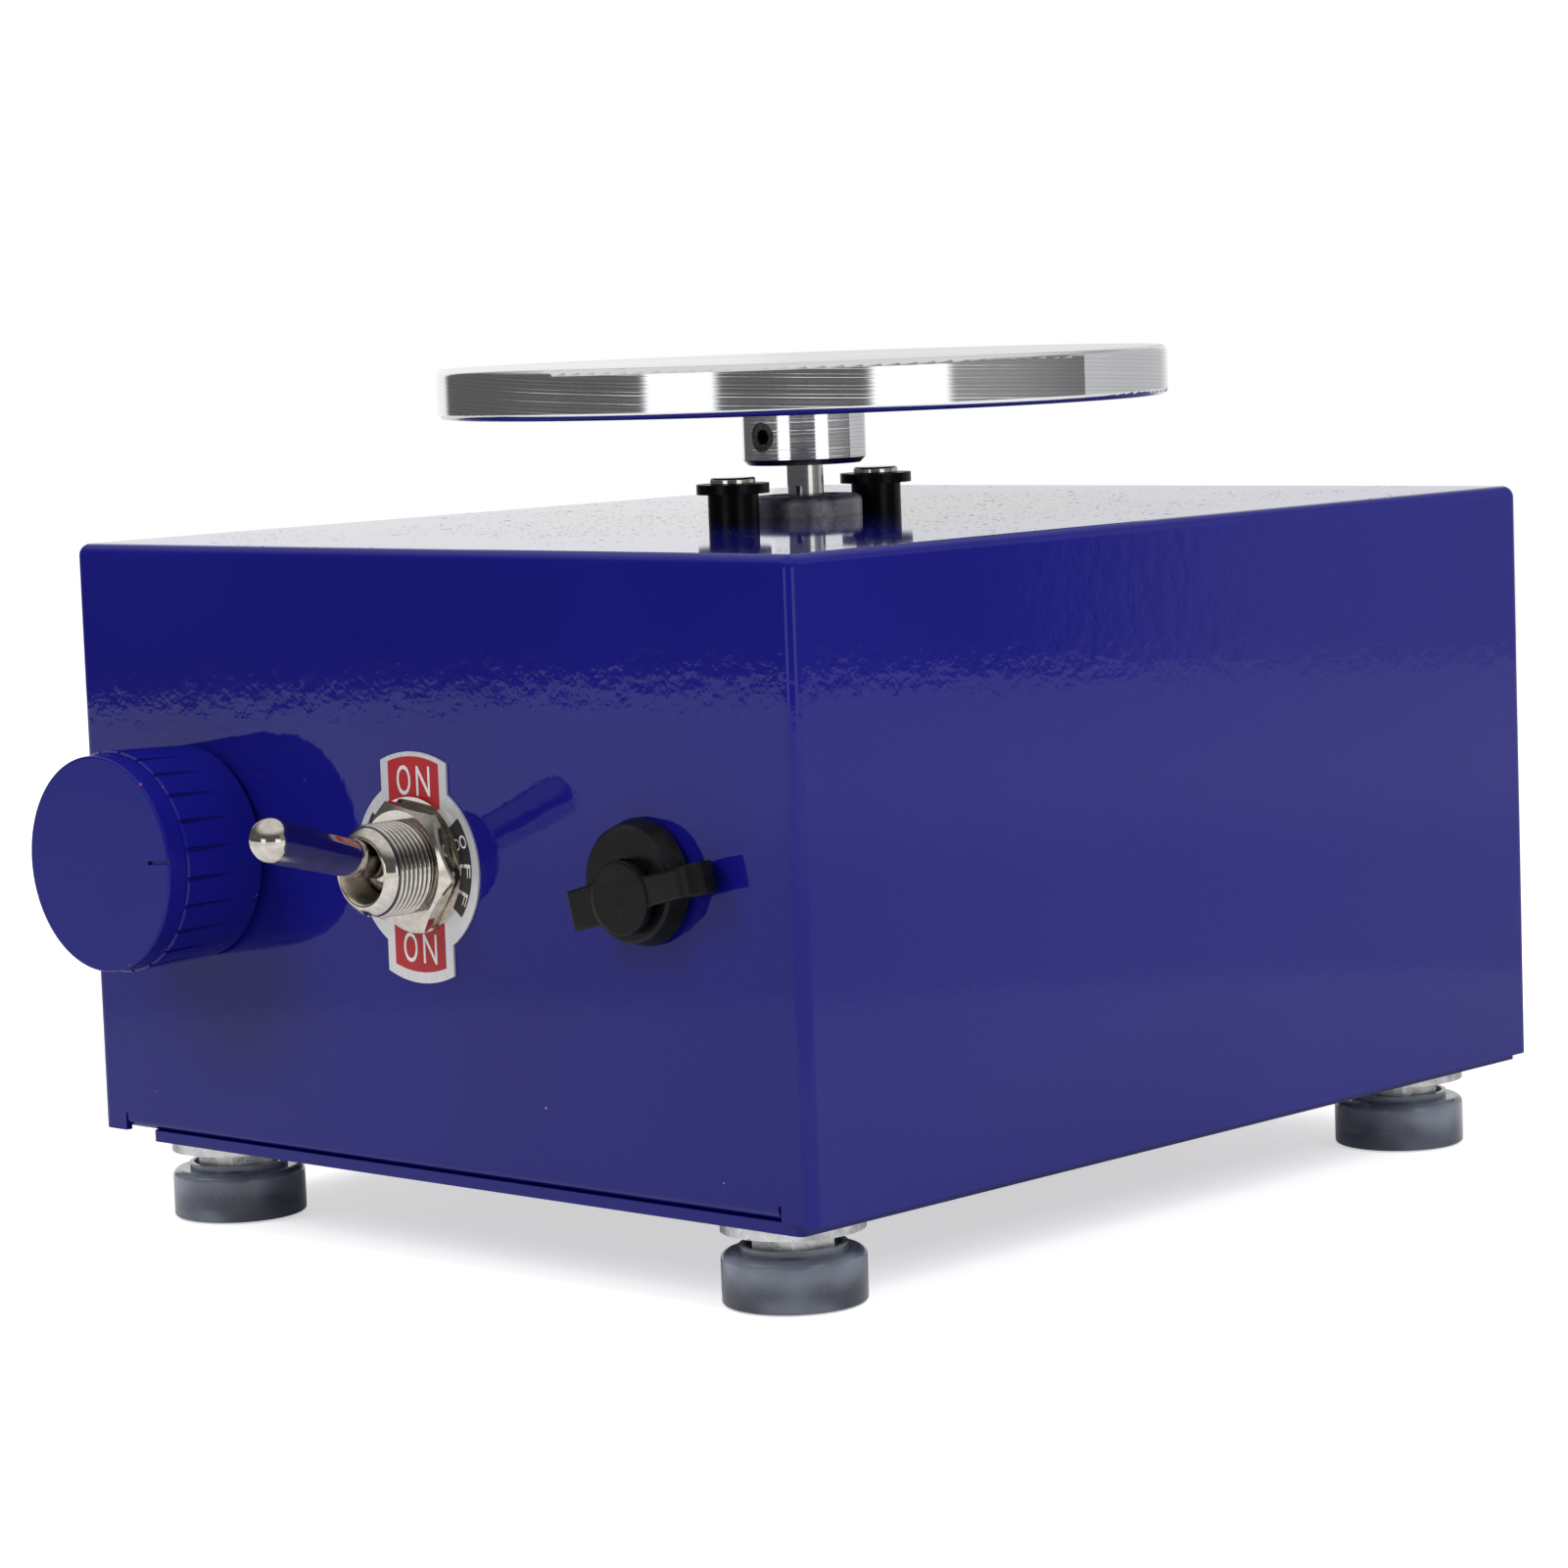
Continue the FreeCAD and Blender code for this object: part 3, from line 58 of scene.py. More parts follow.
# Casing: a box folded from steel sheet, its corners welded and the whole of it enamelled deep blue.
# The enamel is glossy, with a fine orange peel, and dust and clay crumbs lie on it, most on the top.
class Wire:
    """A socket in a material. Sums on it add Math nodes, and node() adds any other node."""

    def __init__(self, tree, socket=None):
        self.tree = tree
        self.socket = socket

    def node(self, kind, settings=None, output=0, **values):
        made = self.tree.nodes.new("ShaderNode" + kind)
        for name, value in (settings or {}).items():
            setattr(made, name, value)
        for name, value in values.items():
            socket = made.inputs[int(name[1:]) if name[1:].isdigit() else name.replace("_", " ")]
            if isinstance(value, Wire):
                self.tree.links.new(value.socket, socket)
            else:
                socket.default_value = value
        return Wire(self.tree, made.outputs[output])

    def sum(self, operation, first, second=0.0, third=0.0):
        return self.node("Math", {"operation": operation}, i0=first, i1=second, i2=third)

    def __add__(self, other):
        return self.sum("ADD", self, other)

    def __radd__(self, other):
        return self.sum("ADD", other, self)

    def __sub__(self, other):
        return self.sum("SUBTRACT", self, other)

    def __rsub__(self, other):
        return self.sum("SUBTRACT", other, self)

    def __mul__(self, other):
        return self.sum("MULTIPLY", self, other)

    def __rmul__(self, other):
        return self.sum("MULTIPLY", other, self)

    def __gt__(self, other):
        return self.sum("GREATER_THAN", self, other)

    def __lt__(self, other):
        return self.sum("LESS_THAN", self, other)

    def __abs__(self):
        return self.sum("ABSOLUTE", self)

    def soft_step(self, low, high):
        """0 below low, 1 above high and smooth between them, or the other way round when low is larger."""
        settings = {"interpolation_type": "SMOOTHSTEP"}
        if low > high:
            return 1 - self.node("MapRange", settings, Value=self, From_Min=high, From_Max=low)
        return self.node("MapRange", settings, Value=self, From_Min=low, From_Max=high)

    def axis(self, letter):
        return self.node("SeparateXYZ", output=letter, Vector=self)

    def noise(self, scale, detail=2.0, roughness=0.5):
        return self.node("TexNoise", Vector=self, Scale=scale, Detail=detail, Roughness=roughness)

    def stretched(self, x, y, z):
        return self.node("VectorMath", {"operation": "MULTIPLY"}, i0=self, i1=(x, y, z))

    def counted_from(self, spot):
        """This place as seen from a fixed spot."""
        return self.node("VectorMath", {"operation": "SUBTRACT"}, i0=self, i1=tuple(spot))

    def length(self):
        return self.node("VectorMath", {"operation": "LENGTH"}, "Value", i0=self)

    def along(self, direction):
        """How far this place reaches in a fixed direction."""
        return self.node("VectorMath", {"operation": "DOT_PRODUCT"}, "Value", i0=self, i1=tuple(direction))

    def tint(self, first, second):
        """A colour that runs from the first to the second as this value goes from 0 to 1."""
        return self.node("Mix", {"data_type": "RGBA"}, 2, Factor=self, i6=first, i7=second)

    def bump(self, depth):
        """A surface normal from this height, where 1 stands for a depth in metres."""
        return self.node("Bump", Strength=1.0, Distance=depth, Height=self)


def colour(red, green, blue):
    return (red, green, blue, 1.0)


def finish_of(name, **steady):
    """A new finish, with the values that are the same all over it, and the place on the piece in metres."""
    made = bpy.data.materials.new(name)
    made.use_nodes = True
    shader = made.node_tree.nodes["Principled BSDF"]
    for key, value in steady.items():
        shader.inputs[key.replace("_", " ")].default_value = value
    return made, shader, Wire(made.node_tree).node("TexCoord", output="Object")


def feed(shader, **wires):
    for key, wire in wires.items():
        wire.tree.links.new(wire.socket, shader.inputs[key.replace("_", " ")])


def dress(finish, *names):
    for name in names:
        nodes[name].data.materials.clear()
        nodes[name].data.materials.append(finish)


def middle(name):
    low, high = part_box(name)
    return (low + high) / 2


def specks(place, scale, reach, share):
    """Scattered round specks: one in some cells of a given scale, with a radius as a share of the cell."""
    settings = {"feature": "F1"}
    cell = place.node("TexVoronoi", settings, "Distance", Vector=place, Scale=scale)
    pick = place.node("TexVoronoi", settings, "Color", Vector=place, Scale=scale).axis("X")
    return (cell < pick * reach) * (pick < share)


CASING_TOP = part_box("casing_shell")[1].z
SPINDLE = middle("turntable")
ENAMEL_BLUE = colour(0.0052, 0.0055, 0.148)
ENAMEL_LIGHT = colour(0.0068, 0.007, 0.166)
CRUMB_GREY = colour(0.06, 0.055, 0.05)
DUST_GREY = colour(0.42, 0.42, 0.47)
CRUMBS_END, CRUMBS_THICK = 0.075, 0.012
PEEL_DEPTH = 0.000016

enamel, shader, place = finish_of("blue_enamel", IOR=1.33)
facing_up = place.node("NewGeometry", output="Normal").axis("Z").soft_step(0.6, 0.9)
peel = place.noise(420.0) + place.noise(1400.0, 1.0) * 0.25
body = place.noise(22.0).soft_step(0.3, 0.7).tint(ENAMEL_LIGHT, ENAMEL_BLUE)
from_spindle = place.counted_from((SPINDLE.x, SPINDLE.y, CASING_TOP)).length()
crumbs_near = from_spindle.soft_step(CRUMBS_END, CRUMBS_THICK)
crumbs = (specks(place, 700.0, 0.9, 0.34) + specks(place, 1500.0, 0.9, 0.4)) * facing_up
crumbs = crumbs * (place.noise(60.0) + crumbs_near * 0.35 > 0.56)
dust = specks(place, 330.0, 0.5, 0.1)
feed(shader, Base_Color=dust.tint(body, DUST_GREY))
feed(shader, Roughness=0.03 + dust * 0.4 + place.noise(90.0) * 0.03)
feed(shader, Normal=(peel * (1 - facing_up * 0.85)).bump(PEEL_DEPTH))
crumb = place.node("BsdfPrincipled", Base_Color=CRUMB_GREY, Roughness=1.0, Specular_IOR_Level=0.0)
covered = place.node("MixShader", i0=crumbs, i1=Wire(place.tree, shader.outputs["BSDF"]), i2=crumb)
surface = enamel.node_tree.nodes["Material Output"].inputs["Surface"]
enamel.node_tree.links.new(covered.socket, surface)
dress(enamel, "casing_shell")


# Bottom plate: a flat sheet cut short on the left, in the same blue but sprayed thinner.
# It is clamped under the casing's two flanges by the studs of the feet.
thin_coat, shader, place = finish_of("thin_blue_coat", IOR=1.33)
scuffs = place.noise(180.0, 4.0, 0.65).soft_step(0.66, 0.72)
feed(shader, Base_Color=scuffs.tint(ENAMEL_BLUE, colour(0.02, 0.02, 0.12)))
feed(shader, Roughness=0.16 + scuffs * 0.4)
feed(shader, Normal=place.noise(800.0).bump(0.000012))
dress(thin_coat, "bottom_plate")


# Feet: round cups of smoky, slightly clear vinyl, each moulded round the head of its stud.
# They are worn a little dull, and the light goes a short way into them.
FEET = [name for name in nodes if name.startswith("rubber_foot")]
SMOKE_DARK, SMOKE_PALE_AND_PAINTED_LIGHT = colour(0.045, 0.056, 0.088), colour(0.44, 0.5, 0.62)
PAINTED_LIGHT_FROM, PAINTED_LIGHT_TO = 0.002, 0.006
vinyl, shader, place = finish_of("smoky_vinyl", IOR=1.42, Transmission_Weight=0.45, Coat_Weight=0.5,
                                 Coat_Roughness=0.06, Coat_IOR=1.5)
cloud = place.stretched(1.0, 1.0, 1.6).noise(110.0, 1.0).soft_step(0.45, 0.75)
rubbed = place.stretched(1.0, 1.0, 3.0).noise(420.0, 3.0, 0.6).soft_step(0.62, 0.72)
# The base colour is painted lighter towards the top of each foot, a painted highlight under the shoulder;
# clear mixes it with the random cloudy tone.
upper = place.axis("Z").soft_step(PAINTED_LIGHT_FROM, PAINTED_LIGHT_TO)
clear = cloud * 0.4 + upper * 0.4
feed(shader, Base_Color=clear.tint(SMOKE_DARK, SMOKE_PALE_AND_PAINTED_LIGHT))
feed(shader, Roughness=0.16 + rubbed * 0.14)
feed(shader, Normal=(place.noise(240.0, 1.0) + rubbed * 0.12).bump(0.00006))
dress(vinyl, *FEET)


# Foot fasteners: pressed washers and hexagon nuts on the studs, all zinc plated.
# The zinc is a dull, uneven grey, with rough sheared edges that catch the light.
zinc, shader, place = finish_of("zinc_plate", Metallic=0.6)
stamp = place.noise(950.0, 4.0, 0.7)
dulling = place.noise(260.0, 3.0)
feed(shader, Base_Color=dulling.soft_step(0.3, 0.7).tint(colour(0.4, 0.4, 0.4), colour(0.88, 0.88, 0.87)))
feed(shader, Roughness=0.2 + stamp * 0.2)
feed(shader, Normal=stamp.bump(0.0002))
dress(zinc, "foot_studs", "foot_washers", "foot_jam_nuts", "foot_inner_nuts")


# Motor: a drawn steel can with a bearing boss on its face, and its wound armature inside.
# The boss comes up through the casing top, and its cast grey skin is pitted and stained.
can_grey, shader, place = finish_of("motor_grey", Metallic=1.0)
pits = place.noise(2600.0, 3.0, 0.7)
stains = place.stretched(1.0, 1.0, 0.4).noise(420.0, 3.0)
feed(shader, Base_Color=stains.soft_step(0.35, 0.65).tint(colour(0.32, 0.32, 0.34), colour(0.62, 0.62, 0.65)))
feed(shader, Roughness=0.38 + pits * 0.3)
feed(shader, Normal=pits.bump(0.00007))
dress(can_grey, "motor_can")

ground_steel, shader, place = finish_of("ground_steel", Metallic=1.0, Anisotropic=0.6)
grinding = place.stretched(0.02, 0.02, 1.0).noise(6000.0, 2.0)
feed(shader, Base_Color=grinding.tint(colour(0.5, 0.48, 0.45), colour(0.74, 0.72, 0.69)))
feed(shader, Roughness=0.12 + grinding * 0.12)
feed(shader, Normal=grinding.bump(0.000004))
dress(ground_steel, "motor_shaft", "motor_front_bearing")


GRAIN_DEPTH = 0.00002


def plain_finish(name, dark, light, scale, rough, metal=0.0):
    """A finish for a small or hidden piece: two tones, an uneven gloss and a fine grain."""
    made, shader, place = finish_of(name, Metallic=metal)
    grain = place.noise(scale, 3.0, 0.6)
    feed(shader, Base_Color=grain.soft_step(0.3, 0.7).tint(dark, light))
    feed(shader, Roughness=rough + grain * 0.2)
    feed(shader, Normal=grain.bump(GRAIN_DEPTH))
    return made


copper = plain_finish("enamelled_copper",
                      colour(0.42, 0.15, 0.06), colour(0.66, 0.3, 0.14), 2400.0, 0.22, 1.0)
dress(copper, "armature_windings", "motor_commutator")
lamination = plain_finish("stacked_sheets",
                          colour(0.16, 0.16, 0.17), colour(0.3, 0.3, 0.31), 1800.0, 0.4, 1.0)
dress(lamination, "motor_armature")
ferrite = plain_finish("ferrite", colour(0.03, 0.03, 0.033), colour(0.06, 0.06, 0.065), 1200.0, 0.55)
dress(ferrite, "motor_magnets")
carbon = plain_finish("pressed_carbon",
                      colour(0.012, 0.012, 0.013), colour(0.03, 0.03, 0.032), 3000.0, 0.6)
dress(carbon, "motor_brushes")
bronze = plain_finish("bronze", colour(0.46, 0.3, 0.12), colour(0.68, 0.48, 0.22), 900.0, 0.28, 1.0)
dress(bronze, "motor_rear_bearing", "brush_holders", "motor_terminals")
moulding = plain_finish("black_moulding",
                        colour(0.012, 0.012, 0.013), colour(0.022, 0.022, 0.024), 2200.0, 0.4)
dress(moulding, "motor_end_cap")


# Motor bushes: two flanged black rubber bushes on the casing top, each under a countersunk screw.
# The screws clamp the motor's face to the casing through them, and their heads are bright.
rubber, shader, place = finish_of("black_rubber", Specular_IOR_Level=0.15)
skin = place.noise(1600.0, 3.0, 0.6)
bloom = place.noise(240.0, 2.0).soft_step(0.42, 0.75)
lint = specks(place, 1500.0, 0.8, 0.12)
black_tone = bloom.tint(colour(0.004, 0.004, 0.0045), colour(0.009, 0.009, 0.01))
feed(shader, Base_Color=lint.tint(black_tone, colour(0.12, 0.11, 0.1)))
feed(shader, Roughness=0.2 + skin * 0.16 + bloom * 0.12)
feed(shader, Normal=skin.bump(0.00003))
dress(rubber, "motor_bush_front", "motor_bush_rear")

NICKEL_DULL, NICKEL_BRIGHT = colour(0.5, 0.46, 0.41), colour(0.67, 0.63, 0.575)


def nickel_plating(name):
    """A nickel finish with its base colour and gloss, for its section to use or to build on."""
    made, shader, place = finish_of(name, Metallic=1.0)
    rub = place.stretched(1.0, 0.25, 1.0).noise(1300.0, 4.0, 0.65)
    feed(shader, Normal=rub.bump(0.000003))
    return made, shader, place, rub.soft_step(0.25, 0.75).tint(NICKEL_DULL, NICKEL_BRIGHT), 0.06 + rub * 0.1


nickel, shader, place, plating, gloss = nickel_plating("bright_nickel")
feed(shader, Base_Color=plating, Roughness=gloss)
dress(nickel, "motor_screws")


# Turntable: a disc and its hub turned from one aluminium bar, with the lathe's rings all over them.
# A black set screw in the hub bites on the flat of the motor's shaft.
turned, shader, place = finish_of("turned_aluminium", Metallic=1.0, Anisotropic=0.6,
                                  Anisotropic_Rotation=0.25)
RIM_INNER = 0.03
from_spin_axis = place.counted_from((SPINDLE.x, SPINDLE.y, 0.0))
turned_radius = from_spin_axis.stretched(1.0, 1.0, 0.0).length()
slope = abs(place.node("NewGeometry", output="Normal").axis("Z"))
level_face = slope.soft_step(0.5, 0.8)
height = place.axis("Z")
round_rim = place.sum("ARCTAN2", from_spin_axis.axis("Y"), from_spin_axis.axis("X"))
round_rim = round_rim * (turned_radius > RIM_INNER)


def lathe_lines(spacing, slant):
    """Fine ridges, a spacing apart. Round the rim they climb by the slant, in spacings to a turn."""
    return height.sum("SINE", height * (2 * math.pi / spacing) + round_rim * slant)


rings = place.node("CombineXYZ", X=turned_radius, Y=0.0, Z=0.0).noise(5200.0, 3.0, 0.7)
patches = from_spin_axis.stretched(1.0, 1.0, 0.3).noise(130.0, 2.0)
ridges = lathe_lines(0.00052, 24.0) + lathe_lines(0.00037, 34.0) * 0.6
ridges = ridges + lathe_lines(0.00023, 55.0) * 0.3
on_rim = slope.soft_step(0.03, 0.005)
# Along the ridges on the rim the base colour is painted darker: painted shade in the lathe's grooves.
painted_groove_shade = ridges.soft_step(0.3, -1.1) * on_rim
bright = rings.tint(colour(0.72, 0.73, 0.75), colour(0.86, 0.86, 0.88))
feed(shader, Base_Color=(painted_groove_shade * 0.28).tint(bright, colour(0.4, 0.4, 0.43)))
feed(shader, Roughness=0.08 + rings * level_face * 0.2 + patches * 0.04)
feed(shader, Normal=(ridges * on_rim * (0.4 + patches)).bump(0.0000025))
dress(turned, "turntable")

black_oxide = plain_finish("black_oxide",
                           colour(0.1, 0.098, 0.095), colour(0.22, 0.21, 0.2), 2000.0, 0.22, 1.0)
dress(black_oxide, "hub_set_screw")


# Speed knob: a stepped, fluted knob sprayed the same blue over an orange moulding.
# The coat is satin, and at its edges it has chipped through to the orange.
# It is pressed on the shaft of a potentiometer, which a nut holds behind the panel.
KNOB = middle("speed_knob")
KNOB_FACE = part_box("speed_knob")[0].y
KNOB_STEP, KNOB_BACK, EDGE_RADIUS, SIDE_RADIUS = 0.0031, 0.0155, 0.0138, 0.0139
GRIP_RADIUS, GRIP_TAPER = 0.01454, 0.0336
FLUTES_FROM, FLUTES_TO = 0.0034, 0.0125
CHIP_ORANGE = colour(0.34, 0.085, 0.035)
knob_coat, shader, place = finish_of("knob_blue", IOR=1.3)
from_knob = place.counted_from(KNOB)
knob_radius = from_knob.stretched(1.0, 0.0, 1.0).length()
behind_face = place.axis("Y") - KNOB_FACE
edges = (abs(behind_face - 0.0002) < 0.0003) + (abs(behind_face - KNOB_STEP) < 0.0004)
edges = (edges + (abs(behind_face - KNOB_BACK) < 0.0006)) * (knob_radius > EDGE_RADIUS)
grip = (knob_radius > SIDE_RADIUS) * (behind_face > 0.001)
flakes = place.noise(700.0, 4.0, 0.7)
less_worn = from_knob.axis("Z") * 2.0
chips = edges * (flakes > 0.675 + less_worn) + grip * (flakes > 0.732 + less_worn)
turning = place.stretched(0.03, 1.0, 0.03).noise(5000.0, 2.0) * grip
# The floors of the flutes are painted a darker blue: painted shade in the flutes, over the coat's random
# tone.
painted_flute_shade = knob_radius < GRIP_RADIUS - (behind_face - KNOB_STEP) * GRIP_TAPER
painted_flute_shade = painted_flute_shade * (behind_face > FLUTES_FROM) * (behind_face < FLUTES_TO) * grip
coat_and_flute_shade = painted_flute_shade.tint(place.noise(60.0).tint(ENAMEL_BLUE, ENAMEL_LIGHT), colour(0.0042, 0.0044, 0.085))
feed(shader, Base_Color=chips.tint(coat_and_flute_shade, CHIP_ORANGE))
feed(shader, Roughness=0.2 + place.noise(900.0) * 0.1 + chips * 0.3)
feed(shader, Normal=(place.noise(1500.0) * 0.5 + turning * 0.4 - chips * 0.8).bump(0.00003))
dress(knob_coat, "speed_knob")
dress(nickel, "pot_bush", "pot_shaft", "pot_washer", "pot_nut")
dress(moulding, "pot_body")
dress(zinc, "pot_terminals")


# Toggle legend: a thin brushed aluminium plate under the switch's nut.
# ON is printed in red fields above and below, OFF in black arcs at the sides, and the letters are bare metal.
SWITCH = middle("toggle_bush")
LEGEND_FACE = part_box("toggle_legend_plate")[0].y
LOBE_HALF, LOBE_START, LOBE_REACH = 0.0047, 0.006, 0.0138
ARC_INNER, ARC_OUTER, ARC_SLOPE = 0.0082, 0.0101, 0.8
legend, shader, place = finish_of("printed_aluminium", Anisotropic=0.5)
from_switch = place.counted_from(SWITCH)
sideways = abs(from_switch.axis("X"))
upright = abs(from_switch.axis("Z"))
outward = from_switch.stretched(1.0, 0.0, 1.0).length()
on_face = place.axis("Y") < LEGEND_FACE + 0.0001
red = (sideways < LOBE_HALF) * (outward < LOBE_REACH) * (upright > LOBE_START) * on_face
black = (outward > ARC_INNER) * (outward < ARC_OUTER) * (upright < sideways * ARC_SLOPE) * on_face
brush = place.stretched(1.0, 1.0, 0.05).noise(3500.0, 3.0, 0.7)
metal = brush.tint(colour(0.56, 0.56, 0.58), colour(0.8, 0.8, 0.82))
ink = place.noise(2500.0, 2.0)
printed = red.tint(metal, colour(0.36, 0.008, 0.013))
feed(shader, Base_Color=black.tint(printed, colour(0.012, 0.012, 0.013)))
feed(shader, Metallic=0.7 - (red + black) * 0.7)
feed(shader, Roughness=0.36 + brush * 0.14)
feed(shader, Normal=(brush * 0.3 + ink * (red + black) * 0.4).bump(0.00002))
dress(legend, "toggle_legend_plate")

bare_letter, shader, place = finish_of("letter_metal", Metallic=0.25)
wear = place.noise(2600.0, 3.0, 0.6)
feed(shader, Base_Color=wear.tint(colour(0.62, 0.6, 0.6), colour(0.84, 0.83, 0.83)))
feed(shader, Roughness=0.34 + wear * 0.2)
feed(shader, Normal=wear.bump(0.00001))


def add_piece(name, mesh, finish, body):
    piece = bpy.data.objects.new(name, mesh)
    scene.collection.objects.link(piece)
    mesh.materials.append(finish)
    if body:
        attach(piece, body)
    return piece


LETTER_EXTRUDE, LETTER_THICKNESS, LETTER_LIFT = 0.02, 0.0006, 0.00001


def letter(name, text, width, height, turn, x, z):
    """One printed letter, scaled to its width and height, turned on the plate and set by its middle."""
    words = bpy.data.curves.new(name, "FONT")
    words.body = text
    words.extrude = LETTER_EXTRUDE
    words.resolution_u = 6
    holder = bpy.data.objects.new(name + "_outline", words)
    scene.collection.objects.link(holder)
    bpy.context.view_layer.update()
    shape = bpy.data.meshes.new_from_object(holder.evaluated_get(bpy.context.evaluated_depsgraph_get()))
    bpy.data.objects.remove(holder)
    shape.name = name
    low = [min(v.co[i] for v in shape.vertices) for i in range(3)]
    high = [max(v.co[i] for v in shape.vertices) for i in range(3)]
    centre = Vector([(a + b) / 2 for a, b in zip(low, high)])
    size = Matrix.Diagonal((width / (high[0] - low[0]), height / (high[1] - low[1]), LETTER_THICKNESS, 1.0))
    stand = Matrix.Rotation(math.radians(90), 4, "X") @ Matrix.Rotation(math.radians(turn), 4, "Z")
    spot = Matrix.Translation((x, LEGEND_FACE - LETTER_LIFT, z))
    shape.transform(spot @ stand @ size @ Matrix.Translation(-centre))
    return add_piece(name, shape, bare_letter, "base")


ON_WIDTH, ON_HEIGHT, ON_SHIFT, ON_RISE = 0.0025, 0.0038, 0.0018, 0.0107
OFF_WIDTH, OFF_HEIGHT, OFF_REACH = 0.0017, 0.0011, 0.0093
OFF_ANGLES = (("O", 21.0), ("F", -2.0), ("F", -25.0))
for lobe, sign in (("upper", 1), ("lower", -1)):
    for text, shift in (("O", -1), ("N", 1)):
        letter(f"on_letter_{lobe}_{text}", text, ON_WIDTH, ON_HEIGHT, 0.0,
               SWITCH.x + shift * ON_SHIFT, SWITCH.z + sign * ON_RISE)
for arc, start in (("right", 0.0), ("left", 180.0)):
    for number, (text, angle) in enumerate(OFF_ANGLES):
        bearing = math.radians(start + angle)
        letter(f"off_letter_{arc}_{number}", text, OFF_WIDTH, OFF_HEIGHT, math.degrees(bearing) - 90.0,
               SWITCH.x + OFF_REACH * math.cos(bearing), SWITCH.z + OFF_REACH * math.sin(bearing))


# Toggle bush: the nickel-plated sleeve that the lever rocks in, screwed through the panel.
# Its thread runs from the panel to the bevelled end, with a keyway along the bottom.
# A nut and washers clamp it to the panel, with the moulded housing of the switch behind.
BUSH_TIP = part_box("toggle_bush")[0].y
BUSH_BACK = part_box("toggle_bush")[1].y
BUSH_RADIUS = 0.006
PITCH, THREAD_DEPTH, THREAD_FROM, THREAD_LEAVE = 0.00075, 0.00038, 0.0014, 0.0026
AROUND, STEPS = 192, 12
BORE_RADIUS, WAIST_RADIUS, CORE_RADIUS, KEY_STOP = 0.0039, 0.00305, 0.0057, 0.006
KEY_HALF, KEY_FLOOR = 0.0009, 0.0051
BUSH_LENGTH = BUSH_BACK - BUSH_TIP
profile = [(BORE_RADIUS, BUSH_LENGTH), (BORE_RADIUS, BUSH_LENGTH - 0.0062)]
profile += [(WAIST_RADIUS, BUSH_LENGTH - 0.0082), (0.0035, 0.0019)]
profile += [(0.00395, 0.0004), (0.00415, 0.0001), (0.0043, 0.0)]
profile += [(0.00445, 0.0), (0.0047, 0.00016), (0.0052, 0.0006), (0.0056, 0.0011), (CORE_RADIUS, 0.0013)]
threads = int((BUSH_LENGTH - THREAD_LEAVE) / PITCH * STEPS)
profile += [(None, THREAD_FROM + step * PITCH / STEPS) for step in range(threads)]
profile += [(CORE_RADIUS, BUSH_LENGTH - 0.0009), (CORE_RADIUS, BUSH_LENGTH)]
mesh = bmesh.new()
rows = []
for radius, depth in profile:
    row = []
    for step in range(AROUND):
        angle = 2 * math.pi * step / AROUND
        reach = radius
        if radius is None:
            phase = (depth / PITCH + step / AROUND) % 1.0
            flank = abs(2 * phase - 1)
            reach = BUSH_RADIUS - THREAD_DEPTH * min(1.0, max(0.0, 1.25 * flank - 0.12))
            reach = min(reach, CORE_RADIUS + depth - THREAD_FROM)
        low_side = -math.sin(angle) * reach
        in_key = low_side > KEY_FLOOR and abs(math.cos(angle)) * reach < KEY_HALF
        if in_key and depth < BUSH_LENGTH - KEY_STOP:
            reach = reach * KEY_FLOOR / low_side
        row.append(mesh.verts.new((SWITCH.x + reach * math.cos(angle), BUSH_TIP + depth,
                                   SWITCH.z + reach * math.sin(angle))))
    rows.append(row)
for first, second in zip(rows, rows[1:] + rows[:1]):
    for step in range(AROUND):
        after = (step + 1) % AROUND
        mesh.faces.new((first[step], first[after], second[after], second[step]))
bmesh.ops.recalc_face_normals(mesh, faces=mesh.faces)
sleeve = bpy.data.meshes.new("threaded_sleeve")
mesh.to_mesh(sleeve)
mesh.free()
for face in sleeve.polygons:
    face.use_smooth = True
THREAD_ROOT = BUSH_RADIUS - THREAD_DEPTH
ROOT_PAINTED_SHADE = colour(0.08, 0.073, 0.063)
MOUTH_EDGE, MOUTH_INNER = 0.0043, 0.004
threaded_nickel, shader, place, plating, gloss = nickel_plating("threaded_nickel")
from_axis = place.counted_from(SWITCH).stretched(1.0, 0.0, 1.0).length()
# The thread roots are painted dark: painted shade in the thread's grooves. They are also rougher there.
thread_root_painted_shade = from_axis.soft_step(BUSH_RADIUS - 0.0001, THREAD_ROOT + 0.00005)
thread_root_painted_shade = thread_root_painted_shade * (from_axis > THREAD_ROOT - 0.0001) * (place.axis("Y") > BUSH_TIP + THREAD_FROM)
mouth = from_axis.soft_step(MOUTH_EDGE, MOUTH_INNER)
feed(shader, Base_Color=thread_root_painted_shade.tint(plating, ROOT_PAINTED_SHADE))
feed(shader, Roughness=gloss + thread_root_painted_shade * 0.15 + mouth * 0.2)
threaded = add_piece("threaded_sleeve", sleeve, threaded_nickel, "base")
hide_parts("toggle_bush")
dress(nickel, "toggle_washer", "toggle_nut", "toggle_lock_washer", "toggle_lever")
dress(moulding, "toggle_housing")
dress(bronze, "toggle_terminals")


